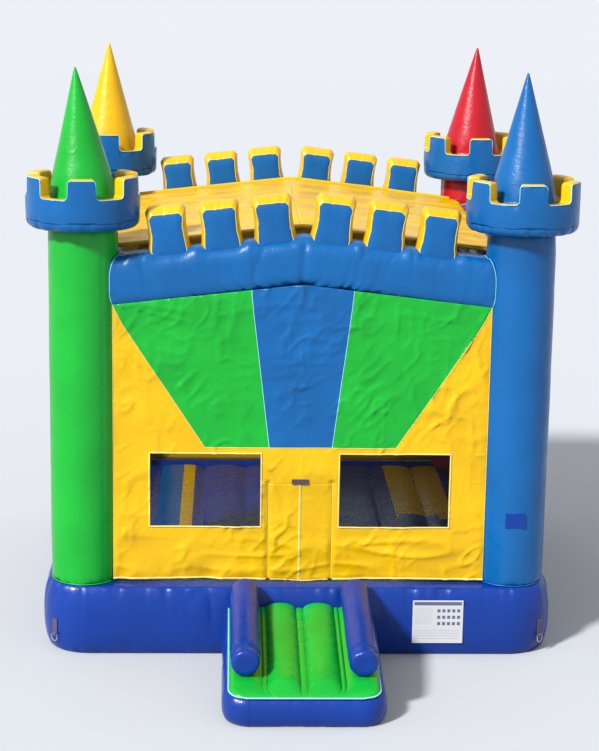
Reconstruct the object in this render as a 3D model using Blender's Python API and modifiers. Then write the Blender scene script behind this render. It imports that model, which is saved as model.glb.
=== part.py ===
"""Castle bounce house: an inflated base, four towers, gabled headers, a fabric front wall and a step.

Metres, +Z up. The origin is the middle of the base on the ground, and the entrance faces -Y.
"""

import math

import bmesh
import bpy
from mathutils import Matrix, Vector

OBJECT_NAME = "bounce_house"
CLEARANCE = 0.0003
SKIN = 0.012

# Base and jumping floor
BASE_WIDTH = 3.96
BASE_DEPTH = 3.96
BASE_HEIGHT = 0.54
BASE_CORNER = 0.30
BASE_BULGE = 0.06
RIM_WIDTH = 0.25
CHANNEL_WIDTH = 0.39
BAFFLE_THICKNESS = 0.008

# Towers
TOWER_INSET = 0.33
COLUMN_RADIUS = 0.262
COLUMN_TOP = 3.283
CROWN_RADIUS = 0.431
CROWN_WALL = 0.10
CROWN_LIP_HEIGHT = 0.239
CROWN_MERLON_HEIGHT = 0.148
CROWN_MERLONS = 6
CROWN_GAP_DEG = 32.0
CROWN_FLOOR_DROP = 0.02
SPIRE_RADIUS = 0.262
SPIRE_HEIGHT = 0.956
SPIRE_SHOULDER_HEIGHT = 0.177
SPIRE_SHOULDER_INSET = 0.043
ROUND_STEPS = 36

# Headers, the merlons on them, and the roof
HEADER_HEIGHT = 0.40
HEADER_DEPTH = 0.36
HEADER_ROUND = 0.13
HEADER_DROP = 0.203
GABLE_RISE = 0.165
MERLON_COUNT = 6
MERLON_SPACING = 0.396
MERLON_WIDTH = 0.29
MERLON_DEPTH = 0.26
MERLON_HEIGHT = 0.30
MERLON_ROUND = 0.05
ROOF_THICKNESS = 0.012
ROOF_LIFT = 0.02
ROOF_OVERLAP = 0.04

# Walls between the towers
WALL_OFFSET = 0.15
WALL_THICKNESS = 0.008
WALL_LIFT = 0.025
DOOR_WIDTH = 0.49
DOOR_TOP = 1.33
DOOR_HEM = 0.005
WINDOW_WIDTH = 0.855
WINDOW_HEIGHT = 0.585
WINDOW_SILL = 0.985
WINDOW_INNER_EDGE = 0.297
NET_THICKNESS = 0.004
FAN_BOTTOM = 1.615
FAN_HALF_WIDTH = 0.73
FAN_MIDDLE_BOTTOM = 0.24
FAN_MIDDLE_TOP = 0.385
STRAP_BAR_WIDTH = 0.13
STRAP_BAR_HEIGHT = 0.04
STRAP_THICKNESS = 0.006

# Entrance step
STEP_LENGTH = 1.42
STEP_WIDTH = 1.176
STEP_BULGE = 0.05
STEP_CORNER = 0.14
STEP_FRONT_HEIGHT = 0.258
STEP_BACK_HEIGHT = 0.43
BED_THICKNESS = 0.05
BED_MARGIN = 0.045
BOLSTER_RADIUS = 0.108
BOLSTER_OFFSET = 0.42
BOLSTER_SETBACK = 0.20
BOLSTER_ROUND = 0.035

# Fittings
PANEL_WIDTH = 0.39
PANEL_HEIGHT = 0.345
PANEL_THICKNESS = 0.004
PANEL_X = 1.07
PANEL_Z = 0.283
PATCH_WIDTH = 0.147
PATCH_HEIGHT = 0.112
PATCH_THICKNESS = 0.006
PATCH_Z = 1.073
LOOP_Z = 0.14
LOOP_HOLE_RADIUS = 0.0065
LOOP_WALL = 0.0045
ANCHOR_STRAP_WIDTH = 0.05
ANCHOR_STRAP_TOP = 0.26
RING_ROD_RADIUS = 0.004
RING_HALF_WIDTH = 0.032
RING_LEG = 0.022
SLEEVE_RADIUS = 0.15
SLEEVE_LENGTH = 0.45
SLEEVE_X = -1.0
SLEEVE_Z = 0.20
VENT_WIDTH = 0.60
VENT_HEIGHT = 0.10
VENT_X = 0.85
VENT_HINGE_Z = 0.33
VENT_GAP = 0.006

# Worked out from the sizes above
TOWER_X = BASE_WIDTH / 2 - TOWER_INSET
TOWER_Y = BASE_DEPTH / 2 - TOWER_INSET
WALL_X = TOWER_X + WALL_OFFSET
WALL_Y = TOWER_Y + WALL_OFFSET
WALL_REACH = math.sqrt(COLUMN_RADIUS ** 2 - (WALL_OFFSET - WALL_THICKNESS / 2) ** 2) + 0.002
WALL_HALF_X = TOWER_X - WALL_REACH
WALL_HALF_Y = TOWER_Y - WALL_REACH
HEADER_TOP = COLUMN_TOP - HEADER_DROP
HEADER_BOTTOM = HEADER_TOP - HEADER_HEIGHT
WALL_BOTTOM = BASE_HEIGHT + WALL_LIFT
STEP_BACK_Y = -BASE_DEPTH / 2
STEP_FRONT_Y = STEP_BACK_Y - STEP_LENGTH
STEP_SLOPE = (STEP_BACK_HEIGHT - STEP_FRONT_HEIGHT) / STEP_LENGTH
LOOP_RADIUS = LOOP_HOLE_RADIUS + LOOP_WALL

COLOURS = {
    "royal_blue": ((0.013, 0.075, 0.42), 0.35),
    "sky_blue": ((0.004, 0.215, 0.68), 0.35),
    "green": ((0.010, 0.50, 0.045), 0.35),
    "yellow": ((0.93, 0.62, 0.010), 0.35),
    "red": ((0.62, 0.016, 0.040), 0.35),
    "net": ((0.012, 0.013, 0.018), 0.80),
    "webbing": ((0.045, 0.020, 0.075), 0.75),
    "label": ((0.86, 0.87, 0.88), 0.45),
    "steel": ((0.62, 0.63, 0.65), 0.30),
}
TOWERS = {
    "front_left": (-1, -1, "green"),
    "front_right": (1, -1, "sky_blue"),
    "back_left": (-1, 1, "yellow"),
    "back_right": (1, 1, "red"),
}


def clear_scene():
    for obj in list(bpy.data.objects):
        bpy.data.objects.remove(obj, do_unlink=True)


def make_collection(name):
    collection = bpy.data.collections.new(name)
    bpy.context.scene.collection.children.link(collection)
    return collection


def make_material(name):
    colour, roughness = COLOURS[name]
    material = bpy.data.materials.new(name)
    material.use_nodes = True
    shader = material.node_tree.nodes["Principled BSDF"]
    shader.inputs["Base Color"].default_value = (*colour, 1.0)
    shader.inputs["Roughness"].default_value = roughness
    shader.inputs["Metallic"].default_value = 1.0 if name == "steel" else 0.0
    material.diffuse_color = (*colour, 1.0)
    return material


clear_scene()
PARTS = make_collection(OBJECT_NAME)
CUTTERS = make_collection("cutters")
MATERIALS = {name: make_material(name) for name in COLOURS}


def add_part(name, data, colour):
    obj = bpy.data.objects.new(name, data)
    data.materials.append(MATERIALS[colour])
    PARTS.objects.link(obj)
    return obj


def add_cutter(name, data):
    obj = bpy.data.objects.new(name, data)
    obj.hide_render = True
    obj.display_type = "WIRE"
    CUTTERS.objects.link(obj)
    return obj


def finish_mesh(bm, name, smooth=True):
    mesh = bpy.data.meshes.new(name)
    bmesh.ops.recalc_face_normals(bm, faces=bm.faces)
    bm.to_mesh(mesh)
    bm.free()
    if smooth:
        mesh.shade_smooth()
        mesh.set_sharp_from_angle(angle=math.radians(35))
    return mesh


def cut(obj, *cutters):
    for cutter in cutters:
        modifier = obj.modifiers.new("Cut " + cutter.name, "BOOLEAN")
        modifier.operation = "DIFFERENCE"
        modifier.object = cutter


def edges_along(bm, axis):
    found = []
    for edge in bm.edges:
        direction = (edge.verts[0].co - edge.verts[1].co).normalized()
        if abs(direction[axis]) > 0.99:
            found.append(edge)
    return found


def round_edges(bm, edges, radius, segments):
    bmesh.ops.bevel(bm, geom=edges, offset=radius, segments=segments, affect="EDGES", profile=0.5, material=-1)


def cut_plane(bm, point, normal):
    geometry = bm.verts[:] + bm.edges[:] + bm.faces[:]
    bmesh.ops.bisect_plane(bm, geom=geometry, plane_co=point, plane_no=normal, dist=1e-6)


def box_bm(low, high):
    bm = bmesh.new()
    bmesh.ops.create_cube(bm, size=1.0)
    low, high = Vector(low), Vector(high)
    bmesh.ops.scale(bm, vec=high - low, verts=bm.verts)
    bmesh.ops.translate(bm, vec=(low + high) / 2, verts=bm.verts)
    return bm


def pillow_bm(low, high, corner, bulge, rings=6):
    """A slab with round corners whose sides swell by bulge at mid height."""
    low, high = Vector(low), Vector(high)
    swell = Vector((bulge, bulge, 0.0))
    bm = box_bm(low + swell, high - swell)
    round_edges(bm, edges_along(bm, 2), corner, 6)
    middle = (low + high) / 2
    half_height = (high.z - low.z) / 2
    for ring in range(1, rings):
        height = middle.z - half_height * math.cos(math.pi * ring / rings)
        cut_plane(bm, (0, 0, height), (0, 0, 1))
    core = (high - low) / 2 - swell - Vector((corner, corner, 0))
    for vert in bm.verts:
        offset = vert.co - middle
        nearest_x = max(-core.x, min(core.x, offset.x))
        nearest_y = max(-core.y, min(core.y, offset.y))
        outward = Vector((offset.x - nearest_x, offset.y - nearest_y, 0)).normalized()
        share = min(1.0, abs(offset.z) / half_height)
        vert.co += outward * bulge * math.sqrt(1 - share * share)
    return bm


def turned(name, profile, centre, colour, closed=False):
    """A turned piece. Its profile of (radius, height) runs down the outer side, and a closed one is a tube."""
    bm = bmesh.new()
    verts = [bm.verts.new((radius, 0, height)) for radius, height in profile]
    for upper, lower in zip(verts, verts[1:]):
        bm.edges.new((upper, lower))
    if closed:
        bm.edges.new((verts[-1], verts[0]))
    mesh = bpy.data.meshes.new(name)
    bm.to_mesh(mesh)
    bm.free()
    obj = add_part(name, mesh, colour)
    obj.location = centre
    screw = obj.modifiers.new("Turn", "SCREW")
    screw.steps = ROUND_STEPS
    screw.render_steps = ROUND_STEPS
    screw.use_merge_vertices = True
    screw.merge_threshold = 0.00005
    screw.use_smooth_shade = True
    return obj


def plate_curve(name, outlines, thickness):
    """A flat 2D outline, with any holes, filled on both sides and thickened."""
    curve = bpy.data.curves.new(name, "CURVE")
    curve.dimensions = "2D"
    curve.fill_mode = "BOTH"
    curve.extrude = thickness / 2
    for outline in outlines:
        spline = curve.splines.new("POLY")
        spline.points.add(len(outline) - 1)
        for point, (x, y) in zip(spline.points, outline):
            point.co = (x, y, 0, 1)
        spline.use_cyclic_u = True
    return curve


def wall_plate(name, outlines, thickness, colour, location, turn_deg=0.0):
    """A plate that stands upright, its outline given as (across, height)."""
    obj = add_part(name, plate_curve(name, outlines, thickness), colour)
    obj.location = location
    obj.rotation_euler = (math.radians(90), 0, math.radians(turn_deg))
    return obj


def rectangle(x_low, x_high, z_low, z_high):
    return [(x_low, z_low), (x_high, z_low), (x_high, z_high), (x_low, z_high)]


def gable(x):
    """Height that the gabled headers, walls and roof gain at x over their ends."""
    return GABLE_RISE * (1 - abs(x) / WALL_HALF_X)


def step_surface(y):
    return STEP_FRONT_HEIGHT + STEP_SLOPE * (y - STEP_FRONT_Y)


# ---- cutters shared by several pieces ----

def base_bm(grow=0.0):
    low = (-BASE_WIDTH / 2 - grow, -BASE_DEPTH / 2 - grow, -grow)
    high = (BASE_WIDTH / 2 + grow, BASE_DEPTH / 2 + grow, BASE_HEIGHT + grow)
    return pillow_bm(low, high, BASE_CORNER, BASE_BULGE)


def header_bm(half_length, grow=0.0, gabled=True):
    """A header tube along X around y = 0, rounded along its length."""
    half_depth = HEADER_DEPTH / 2 + grow
    low = (-half_length, -half_depth, HEADER_BOTTOM - grow)
    high = (half_length, half_depth, HEADER_TOP + grow)
    bm = box_bm(low, high)
    round_edges(bm, edges_along(bm, 0), HEADER_ROUND + grow, 5)
    if gabled:
        cut_plane(bm, (0, 0, 0), (1, 0, 0))
        for vert in bm.verts:
            vert.co.z += gable(vert.co.x)
    return bm


def column_cutters():
    cutters = []
    for tower, (side_x, side_y, _colour) in TOWERS.items():
        bm = bmesh.new()
        bmesh.ops.create_cone(
            bm, cap_ends=True, segments=ROUND_STEPS, depth=COLUMN_TOP,
            radius1=COLUMN_RADIUS + CLEARANCE, radius2=COLUMN_RADIUS + CLEARANCE,
            matrix=Matrix.Translation((side_x * TOWER_X, side_y * TOWER_Y, COLUMN_TOP / 2 + 0.1)),
        )
        cutters.append(add_cutter("column_space_" + tower, finish_mesh(bm, "column_space_" + tower)))
    return cutters


# ---- the pieces ----

def make_base():
    """The base's skin, open in its top where the jumping floor and its upright baffles fit in."""
    base = add_part("base_bed", finish_mesh(base_bm(), "base_bed"), "royal_blue")
    inside = add_cutter("base_inside", finish_mesh(base_bm(grow=-SKIN), "base_inside"))
    half_x = BASE_WIDTH / 2 - RIM_WIDTH
    half_y = BASE_DEPTH / 2 - RIM_WIDTH
    mouth_bm = box_bm((-half_x, -half_y, BASE_HEIGHT / 2), (half_x, half_y, BASE_HEIGHT + 0.1))
    mouth = add_cutter("base_mouth", finish_mesh(mouth_bm, "base_mouth", smooth=False))
    cut(base, inside, mouth)

    edge = half_x - CLEARANCE
    under = BASE_HEIGHT - SKIN
    foot = SKIN + CLEARANCE
    outline = [(edge, under), (edge, BASE_HEIGHT), (-edge, BASE_HEIGHT), (-edge, under)]
    baffles = int(2 * half_x / CHANNEL_WIDTH)
    for index in range(baffles):
        middle = (index - (baffles - 1) / 2) * CHANNEL_WIDTH
        left = middle - BAFFLE_THICKNESS / 2
        right = middle + BAFFLE_THICKNESS / 2
        outline += [(left, under), (left, foot), (right, foot), (right, under)]
    wall_plate("jump_floor", [outline], 2 * (half_y - CLEARANCE), "royal_blue", (0, 0, 0))


def make_column(tower, side_x, side_y, colour):
    """A tube, open at both ends, where its air comes from the base and passes on to the crown."""
    neck = COLUMN_RADIUS - 0.008
    bore = COLUMN_RADIUS - 0.008 - SKIN
    low = BASE_HEIGHT + CLEARANCE
    high = COLUMN_TOP - CLEARANCE
    profile = [
        (neck, high), (COLUMN_RADIUS, high - 0.05), (COLUMN_RADIUS, low + 0.05), (neck, low),
        (bore, low), (bore, high),
    ]
    turned("column_" + tower, profile, (side_x * TOWER_X, side_y * TOWER_Y, 0), colour, closed=True)


def crown_gap_cutter(name, centre):
    """Six wedges that part the crown's merlons, one merlon facing the front."""
    inner = CROWN_RADIUS - 2 * CROWN_WALL
    outer = CROWN_RADIUS * 1.3
    half_tangent = math.tan(math.radians(CROWN_GAP_DEG / 2))
    joined = bmesh.new()
    for merlon in range(CROWN_MERLONS):
        bm = box_bm((inner, -1, CROWN_LIP_HEIGHT), (outer, 1, CROWN_LIP_HEIGHT + 2 * CROWN_MERLON_HEIGHT))
        for vert in bm.verts:
            vert.co.y *= vert.co.x * half_tangent
        turn = math.radians(360 / CROWN_MERLONS * merlon)
        bmesh.ops.rotate(bm, cent=(0, 0, 0), matrix=Matrix.Rotation(turn, 3, "Z"), verts=bm.verts)
        piece = bpy.data.meshes.new("wedge")
        bm.to_mesh(piece)
        bm.free()
        joined.from_mesh(piece)
        bpy.data.meshes.remove(piece)
    cutter = add_cutter(name, finish_mesh(joined, name, smooth=False))
    cutter.location = centre
    return cutter


def make_crown(tower, side_x, side_y):
    """A drum with merlons on its rim, open below onto the column's bore."""
    top = CROWN_LIP_HEIGHT + CROWN_MERLON_HEIGHT
    floor = CROWN_LIP_HEIGHT - CROWN_FLOOR_DROP
    inner = CROWN_RADIUS - CROWN_WALL
    bore = COLUMN_RADIUS - 0.008 - SKIN
    profile = [
        (0, floor), (inner, floor), (inner, top), (CROWN_RADIUS - 0.012, top),
        (CROWN_RADIUS, top - 0.03), (CROWN_RADIUS, 0.05), (CROWN_RADIUS - 0.03, 0), (bore, 0),
        (bore, SKIN), (CROWN_RADIUS - 0.03 - SKIN, SKIN), (CROWN_RADIUS - SKIN, 0.05 + SKIN),
        (CROWN_RADIUS - SKIN, floor - SKIN), (0, floor - SKIN),
    ]
    centre = (side_x * TOWER_X, side_y * TOWER_Y, COLUMN_TOP)
    crown = turned("crown_" + tower, profile, centre, "sky_blue")
    cut(crown, crown_gap_cutter("crown_gaps_" + tower, centre))


def make_spire(tower, side_x, side_y, colour):
    """A hollow cone, a little fuller at its foot and blunt at its tip."""
    shoulder = SPIRE_SHOULDER_HEIGHT
    shoulder_radius = SPIRE_RADIUS - SPIRE_SHOULDER_INSET
    profile = [
        (0, SPIRE_HEIGHT), (0.010, SPIRE_HEIGHT - 0.004), (0.018, SPIRE_HEIGHT - 0.035),
        (shoulder_radius, shoulder), (SPIRE_RADIUS - 0.012, 0.04), (SPIRE_RADIUS, 0),
        (SPIRE_RADIUS - SKIN, 0), (shoulder_radius - SKIN, shoulder), (0, SPIRE_HEIGHT - 0.10),
    ]
    foot = COLUMN_TOP + CROWN_LIP_HEIGHT - CROWN_FLOOR_DROP + CLEARANCE
    turned("spire_" + tower, profile, (side_x * TOWER_X, side_y * TOWER_Y, foot), colour)


def make_header(name, gabled, place, columns):
    """A header's skin, open at both ends, where its air comes from the towers."""
    reach = TOWER_X if gabled else TOWER_Y
    skin = header_bm(reach - HEADER_DEPTH / 2 - CLEARANCE, gabled=gabled)
    inside = header_bm(reach, grow=-SKIN, gabled=gabled)
    for bm in (skin, inside):
        bmesh.ops.transform(bm, matrix=place, verts=bm.verts)
    hollow = add_cutter(name + "_inside", finish_mesh(inside, name + "_inside"))
    cut(add_part(name, finish_mesh(skin, name), "sky_blue"), hollow, *columns)


def make_headers(columns):
    quarter_turn = Matrix.Rotation(math.radians(90), 4, "Z")
    make_header("header_front", True, Matrix.Translation((0, -TOWER_Y, 0)), columns)
    make_header("header_back", True, Matrix.Translation((0, TOWER_Y, 0)), columns)
    make_header("header_left", False, Matrix.Translation((-TOWER_X, 0, 0)) @ quarter_turn, columns)
    make_header("header_right", False, Matrix.Translation((TOWER_X, 0, 0)) @ quarter_turn, columns)


def make_header_merlons():
    """Six blocks on each gabled header, square to its slope."""
    for side, row in ((-1, "front"), (1, "back")):
        seat_bm = header_bm(TOWER_X, grow=CLEARANCE)
        bmesh.ops.translate(seat_bm, vec=(0, side * TOWER_Y, 0), verts=seat_bm.verts)
        seat = add_cutter("merlon_seat_" + row, finish_mesh(seat_bm, "merlon_seat_" + row))
        for index in range(MERLON_COUNT):
            name = "merlon_" + row + "_" + str(index + 1)
            x = (index - (MERLON_COUNT - 1) / 2) * MERLON_SPACING
            slope = math.copysign(math.atan2(GABLE_RISE, WALL_HALF_X), x)
            bm = box_bm(
                (-MERLON_WIDTH / 2, -MERLON_DEPTH / 2, -HEADER_ROUND * 0.7),
                (MERLON_WIDTH / 2, MERLON_DEPTH / 2, MERLON_HEIGHT),
            )
            rounded = [edge for edge in bm.edges if max(vert.co.z for vert in edge.verts) > 0]
            round_edges(bm, rounded, MERLON_ROUND, 3)
            block = add_part(name, finish_mesh(bm, name), "yellow")
            block.location = (x, side * TOWER_Y, HEADER_TOP + gable(x))
            block.rotation_euler = (0, slope, 0)
            cut(block, seat)


def make_roof(columns):
    """Two sloping sheets that meet along the ridge."""
    half_x = TOWER_X - HEADER_DEPTH / 2 + ROOF_OVERLAP
    half_y = TOWER_Y - HEADER_DEPTH / 2 + ROOF_OVERLAP
    low = HEADER_TOP + ROOF_LIFT
    for side, name in ((-1, "roof_left"), (1, "roof_right")):
        ridge = side * CLEARANCE
        eave = side * half_x
        bm = box_bm((min(ridge, eave), -half_y, low), (max(ridge, eave), half_y, low + ROOF_THICKNESS))
        for vert in bm.verts:
            vert.co.z += gable(vert.co.x)
        cut(add_part(name, finish_mesh(bm, name, smooth=False), "yellow"), *columns)


def make_front_wall():
    """The yellow wall with its two window openings and doorway, and the three fan panels above it."""
    eave = HEADER_BOTTOM - 0.002
    seam = CLEARANCE
    half = WALL_HALF_X
    door = DOOR_WIDTH / 2 + DOOR_HEM
    here = (0, -WALL_Y, 0)
    outline = [
        (-half, WALL_BOTTOM), (-door, WALL_BOTTOM), (-door, DOOR_TOP), (door, DOOR_TOP), (door, WALL_BOTTOM),
        (half, WALL_BOTTOM), (half, eave), (FAN_HALF_WIDTH, FAN_BOTTOM), (-FAN_HALF_WIDTH, FAN_BOTTOM),
        (-half, eave),
    ]
    windows = []
    for side in (-1, 1):
        near = side * WINDOW_INNER_EDGE
        far = side * (WINDOW_INNER_EDGE + WINDOW_WIDTH)
        windows.append((min(near, far), max(near, far), WINDOW_SILL, WINDOW_SILL + WINDOW_HEIGHT))
    holes = [rectangle(*window) for window in windows]
    wall_plate("front_wall", [outline] + holes, WALL_THICKNESS, "yellow", here)
    for name, (x_low, x_high, z_low, z_high) in zip(("window_net_left", "window_net_right"), windows):
        fit = rectangle(x_low + seam, x_high - seam, z_low + seam, z_high - seam)
        wall_plate(name, [fit], NET_THICKNESS, "net", here)

    bottom = FAN_BOTTOM + seam
    top_z = eave + gable(FAN_MIDDLE_TOP)
    middle = [
        (-FAN_MIDDLE_BOTTOM, bottom), (FAN_MIDDLE_BOTTOM, bottom), (FAN_MIDDLE_TOP, top_z),
        (0, eave + GABLE_RISE), (-FAN_MIDDLE_TOP, top_z),
    ]
    wall_plate("fan_panel_middle", [middle], WALL_THICKNESS, "sky_blue", here)
    for side, name in ((-1, "fan_panel_left"), (1, "fan_panel_right")):
        wing = [
            (side * (FAN_MIDDLE_BOTTOM + 2 * seam), bottom),
            (side * (FAN_HALF_WIDTH - 2 * seam), bottom),
            (side * (half - 0.002), eave),
            (side * (FAN_MIDDLE_TOP + 2 * seam), top_z),
        ]
        wall_plate(name, [wing], WALL_THICKNESS, "green", here)

    bar_y = -WALL_Y - WALL_THICKNESS / 2 - CLEARANCE - STRAP_THICKNESS / 2
    bar = rectangle(-STRAP_BAR_WIDTH / 2, STRAP_BAR_WIDTH / 2, DOOR_TOP, DOOR_TOP + STRAP_BAR_HEIGHT)
    wall_plate("door_strap", [bar], STRAP_THICKNESS, "webbing", (0, bar_y, 0))


def make_door_flaps():
    """Two flaps that meet at the middle slit. Each origin is on its flap's sewn edge."""
    for side, name in ((-1, "door_flap_left"), (1, "door_flap_right")):
        slit = DOOR_WIDTH / 2 - CLEARANCE
        near = -side * DOOR_HEM
        far = -side * slit
        outline = rectangle(min(near, far), max(near, far), WALL_BOTTOM, DOOR_TOP - 2 * CLEARANCE)
        wall_plate(name, [outline], WALL_THICKNESS, "yellow", (side * DOOR_WIDTH / 2, -WALL_Y, 0))


def make_other_walls():
    half = WALL_HALF_X
    eave = HEADER_BOTTOM - 0.002
    low = BASE_HEIGHT + CLEARANCE
    back = [(-half, low), (half, low), (half, eave), (0, eave + GABLE_RISE), (-half, eave)]
    wall_plate("back_wall", [back], WALL_THICKNESS, "net", (0, WALL_Y, 0))
    side_outline = rectangle(-WALL_HALF_Y, WALL_HALF_Y, low, eave)
    for side, name in ((-1, "side_wall_left"), (1, "side_wall_right")):
        wall_plate(name, [side_outline], WALL_THICKNESS, "net", (side * WALL_X, 0, 0), turn_deg=90)


def make_step():
    """The blue block, the green bed on its slope and the two bolsters."""
    seat = add_cutter("step_seat", finish_mesh(base_bm(grow=CLEARANCE), "step_seat"))
    rear = STEP_BACK_Y + BASE_BULGE
    body = pillow_bm((-STEP_WIDTH / 2, STEP_FRONT_Y, 0), (STEP_WIDTH / 2, rear, 1), STEP_CORNER, STEP_BULGE)
    for vert in body.verts:
        vert.co.z *= step_surface(vert.co.y) - BED_THICKNESS
    inner = Vector((STEP_WIDTH / 2 - SKIN, STEP_FRONT_Y + SKIN, rear + 0.3))
    inside = pillow_bm((-inner.x, inner.y, 0), (inner.x, inner.z, 1), STEP_CORNER, STEP_BULGE)
    for vert in inside.verts:
        roof = step_surface(vert.co.y) - BED_THICKNESS - SKIN
        vert.co.z = SKIN + vert.co.z * (roof - SKIN)
    hollow = add_cutter("step_inside", finish_mesh(inside, "step_inside"))
    cut(add_part("step_body", finish_mesh(body, "step_body"), "royal_blue"), hollow, seat)

    half = STEP_WIDTH / 2 - BED_MARGIN
    bed = pillow_bm((-half, STEP_FRONT_Y + 0.02, CLEARANCE), (half, rear, BED_THICKNESS), STEP_CORNER, 0.012, 4)
    for vert in bed.verts:
        vert.co.z += step_surface(vert.co.y) - BED_THICKNESS
    cut(add_part("step_bed", finish_mesh(bed, "step_bed"), "green"), seat)

    tilt = math.atan(STEP_SLOPE)
    rise = (BOLSTER_RADIUS + 2 * CLEARANCE) / math.cos(tilt)
    back_y = STEP_BACK_Y - BOLSTER_RADIUS * math.sin(tilt) - 0.004
    length = (back_y - STEP_FRONT_Y - BOLSTER_SETBACK) / math.cos(tilt)
    profile = [
        (0, length), (BOLSTER_RADIUS - BOLSTER_ROUND, length - 0.004), (BOLSTER_RADIUS - 0.01, length - 0.014),
        (BOLSTER_RADIUS, length - BOLSTER_ROUND), (BOLSTER_RADIUS, BOLSTER_ROUND),
        (BOLSTER_RADIUS - 0.01, 0.012), (BOLSTER_RADIUS - BOLSTER_ROUND, 0), (0, 0),
    ]
    for side, name in ((-1, "bolster_left"), (1, "bolster_right")):
        centre = (side * BOLSTER_OFFSET, back_y, step_surface(back_y) + rise)
        bolster = turned(name, profile, centre, "royal_blue")
        bolster.rotation_euler = (math.radians(90) + tilt, 0, 0)


def make_fittings():
    """The blank notice panel on the base and the tether patch on the right front column."""
    panel_y = -BASE_DEPTH / 2 - CLEARANCE - PANEL_THICKNESS / 2
    panel = rectangle(-PANEL_WIDTH / 2, PANEL_WIDTH / 2, -PANEL_HEIGHT / 2, PANEL_HEIGHT / 2)
    wall_plate("notice_panel", [panel], PANEL_THICKNESS, "label", (PANEL_X, panel_y, PANEL_Z))

    front = -TOWER_Y - COLUMN_RADIUS - PATCH_THICKNESS
    bm = box_bm(
        (TOWER_X - PATCH_WIDTH / 2, front, PATCH_Z - PATCH_HEIGHT / 2),
        (TOWER_X + PATCH_WIDTH / 2, front + 0.05, PATCH_Z + PATCH_HEIGHT / 2),
    )
    patch = add_part("tether_patch", finish_mesh(bm, "tether_patch", smooth=False), "royal_blue")
    cut(patch, bpy.data.objects["column_space_front_right"])


def base_corner_reach():
    """Distance from the origin to the swollen corner of the base, and its direction's angle."""
    arc_x = BASE_WIDTH / 2 - BASE_BULGE - BASE_CORNER
    arc_y = BASE_DEPTH / 2 - BASE_BULGE - BASE_CORNER
    return arc_x, arc_y, BASE_CORNER + BASE_BULGE


def anchor_centre(side_x, side_y):
    """The axis point of an anchor loop, which hangs on the outside of a base corner."""
    arc_x, arc_y, radius = base_corner_reach()
    reach = radius + CLEARANCE * 2 + LOOP_RADIUS
    diagonal = math.sqrt(0.5)
    return Vector((side_x * (arc_x + reach * diagonal), side_y * (arc_y + reach * diagonal), LOOP_Z))


def loop_outline():
    """Side view of an anchor strap: a flat tail above and the loop that holds the ring's bar."""
    tail_width = 0.006
    top = ANCHOR_STRAP_TOP - LOOP_Z
    inner = -LOOP_RADIUS
    start = math.acos((inner + tail_width) / LOOP_RADIUS)
    points = [(inner, top)]
    steps = 14
    for index in range(steps + 1):
        angle = math.pi + (math.pi + start) * index / steps
        points.append((LOOP_RADIUS * math.cos(angle), LOOP_RADIUS * math.sin(angle)))
    points.append((inner + tail_width, top))
    return points


def circle_outline(radius, steps=12):
    turns = [2 * math.pi * index / steps for index in range(steps)]
    return [(radius * math.cos(turn), radius * math.sin(turn)) for turn in turns]


def ring_curve(name):
    """A D-shaped steel ring: a straight bar above two legs and a half circle."""
    points = [(-RING_HALF_WIDTH, 0), (RING_HALF_WIDTH, 0)]
    steps = 10
    for index in range(steps + 1):
        angle = -math.pi * index / steps
        points.append((RING_HALF_WIDTH * math.cos(angle), -RING_LEG + RING_HALF_WIDTH * math.sin(angle)))
    curve = bpy.data.curves.new(name, "CURVE")
    curve.dimensions = "3D"
    curve.bevel_depth = RING_ROD_RADIUS
    curve.bevel_resolution = 2
    spline = curve.splines.new("POLY")
    spline.points.add(len(points) - 1)
    for point, (across, height) in zip(spline.points, points):
        point.co = (0, across, height, 1)
    spline.use_cyclic_u = True
    return curve


def make_anchors():
    for tower, (side_x, side_y, _colour) in TOWERS.items():
        facing = math.atan2(side_y, side_x)
        centre = anchor_centre(side_x, side_y)
        name = "anchor_strap_" + tower
        outlines = [loop_outline(), circle_outline(LOOP_HOLE_RADIUS)]
        strap = add_part(name, plate_curve(name, outlines, ANCHOR_STRAP_WIDTH), "webbing")
        strap.location = centre
        strap.rotation_euler = (math.radians(90), 0, facing)
        ring = add_part("anchor_ring_" + tower, ring_curve("anchor_ring_" + tower), "steel")
        ring.location = centre
        ring.rotation_euler = (0, 0, facing)


def make_air_fittings():
    """The blower sleeve and the flap over the air outlet, both on the back of the base."""
    back = BASE_DEPTH / 2 + CLEARANCE
    profile = [
        (SLEEVE_RADIUS, SLEEVE_LENGTH), (SLEEVE_RADIUS, 0),
        (SLEEVE_RADIUS - SKIN, 0), (SLEEVE_RADIUS - SKIN, SLEEVE_LENGTH),
    ]
    sleeve = turned("inlet_sleeve", profile, (SLEEVE_X, back, SLEEVE_Z), "royal_blue", closed=True)
    sleeve.rotation_euler = (math.radians(-90), 0, 0)
    flap = rectangle(-VENT_WIDTH / 2, VENT_WIDTH / 2, -VENT_HEIGHT, 0)
    wall_plate("vent_flap", [flap], PANEL_THICKNESS, "royal_blue", (VENT_X, back + VENT_GAP, VENT_HINGE_Z))


def main():
    columns = column_cutters()
    make_base()
    for tower, (side_x, side_y, colour) in TOWERS.items():
        make_column(tower, side_x, side_y, colour)
        make_crown(tower, side_x, side_y)
        make_spire(tower, side_x, side_y, colour)
    make_headers(columns)
    make_header_merlons()
    make_roof(columns)
    make_front_wall()
    make_door_flaps()
    make_other_walls()
    make_step()
    make_fittings()
    make_anchors()
    make_air_fittings()


main()
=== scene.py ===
"""Looks for an inflatable castle: vinyl skins, netting, webbing and a plain studio, around its CAD frame."""

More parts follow.
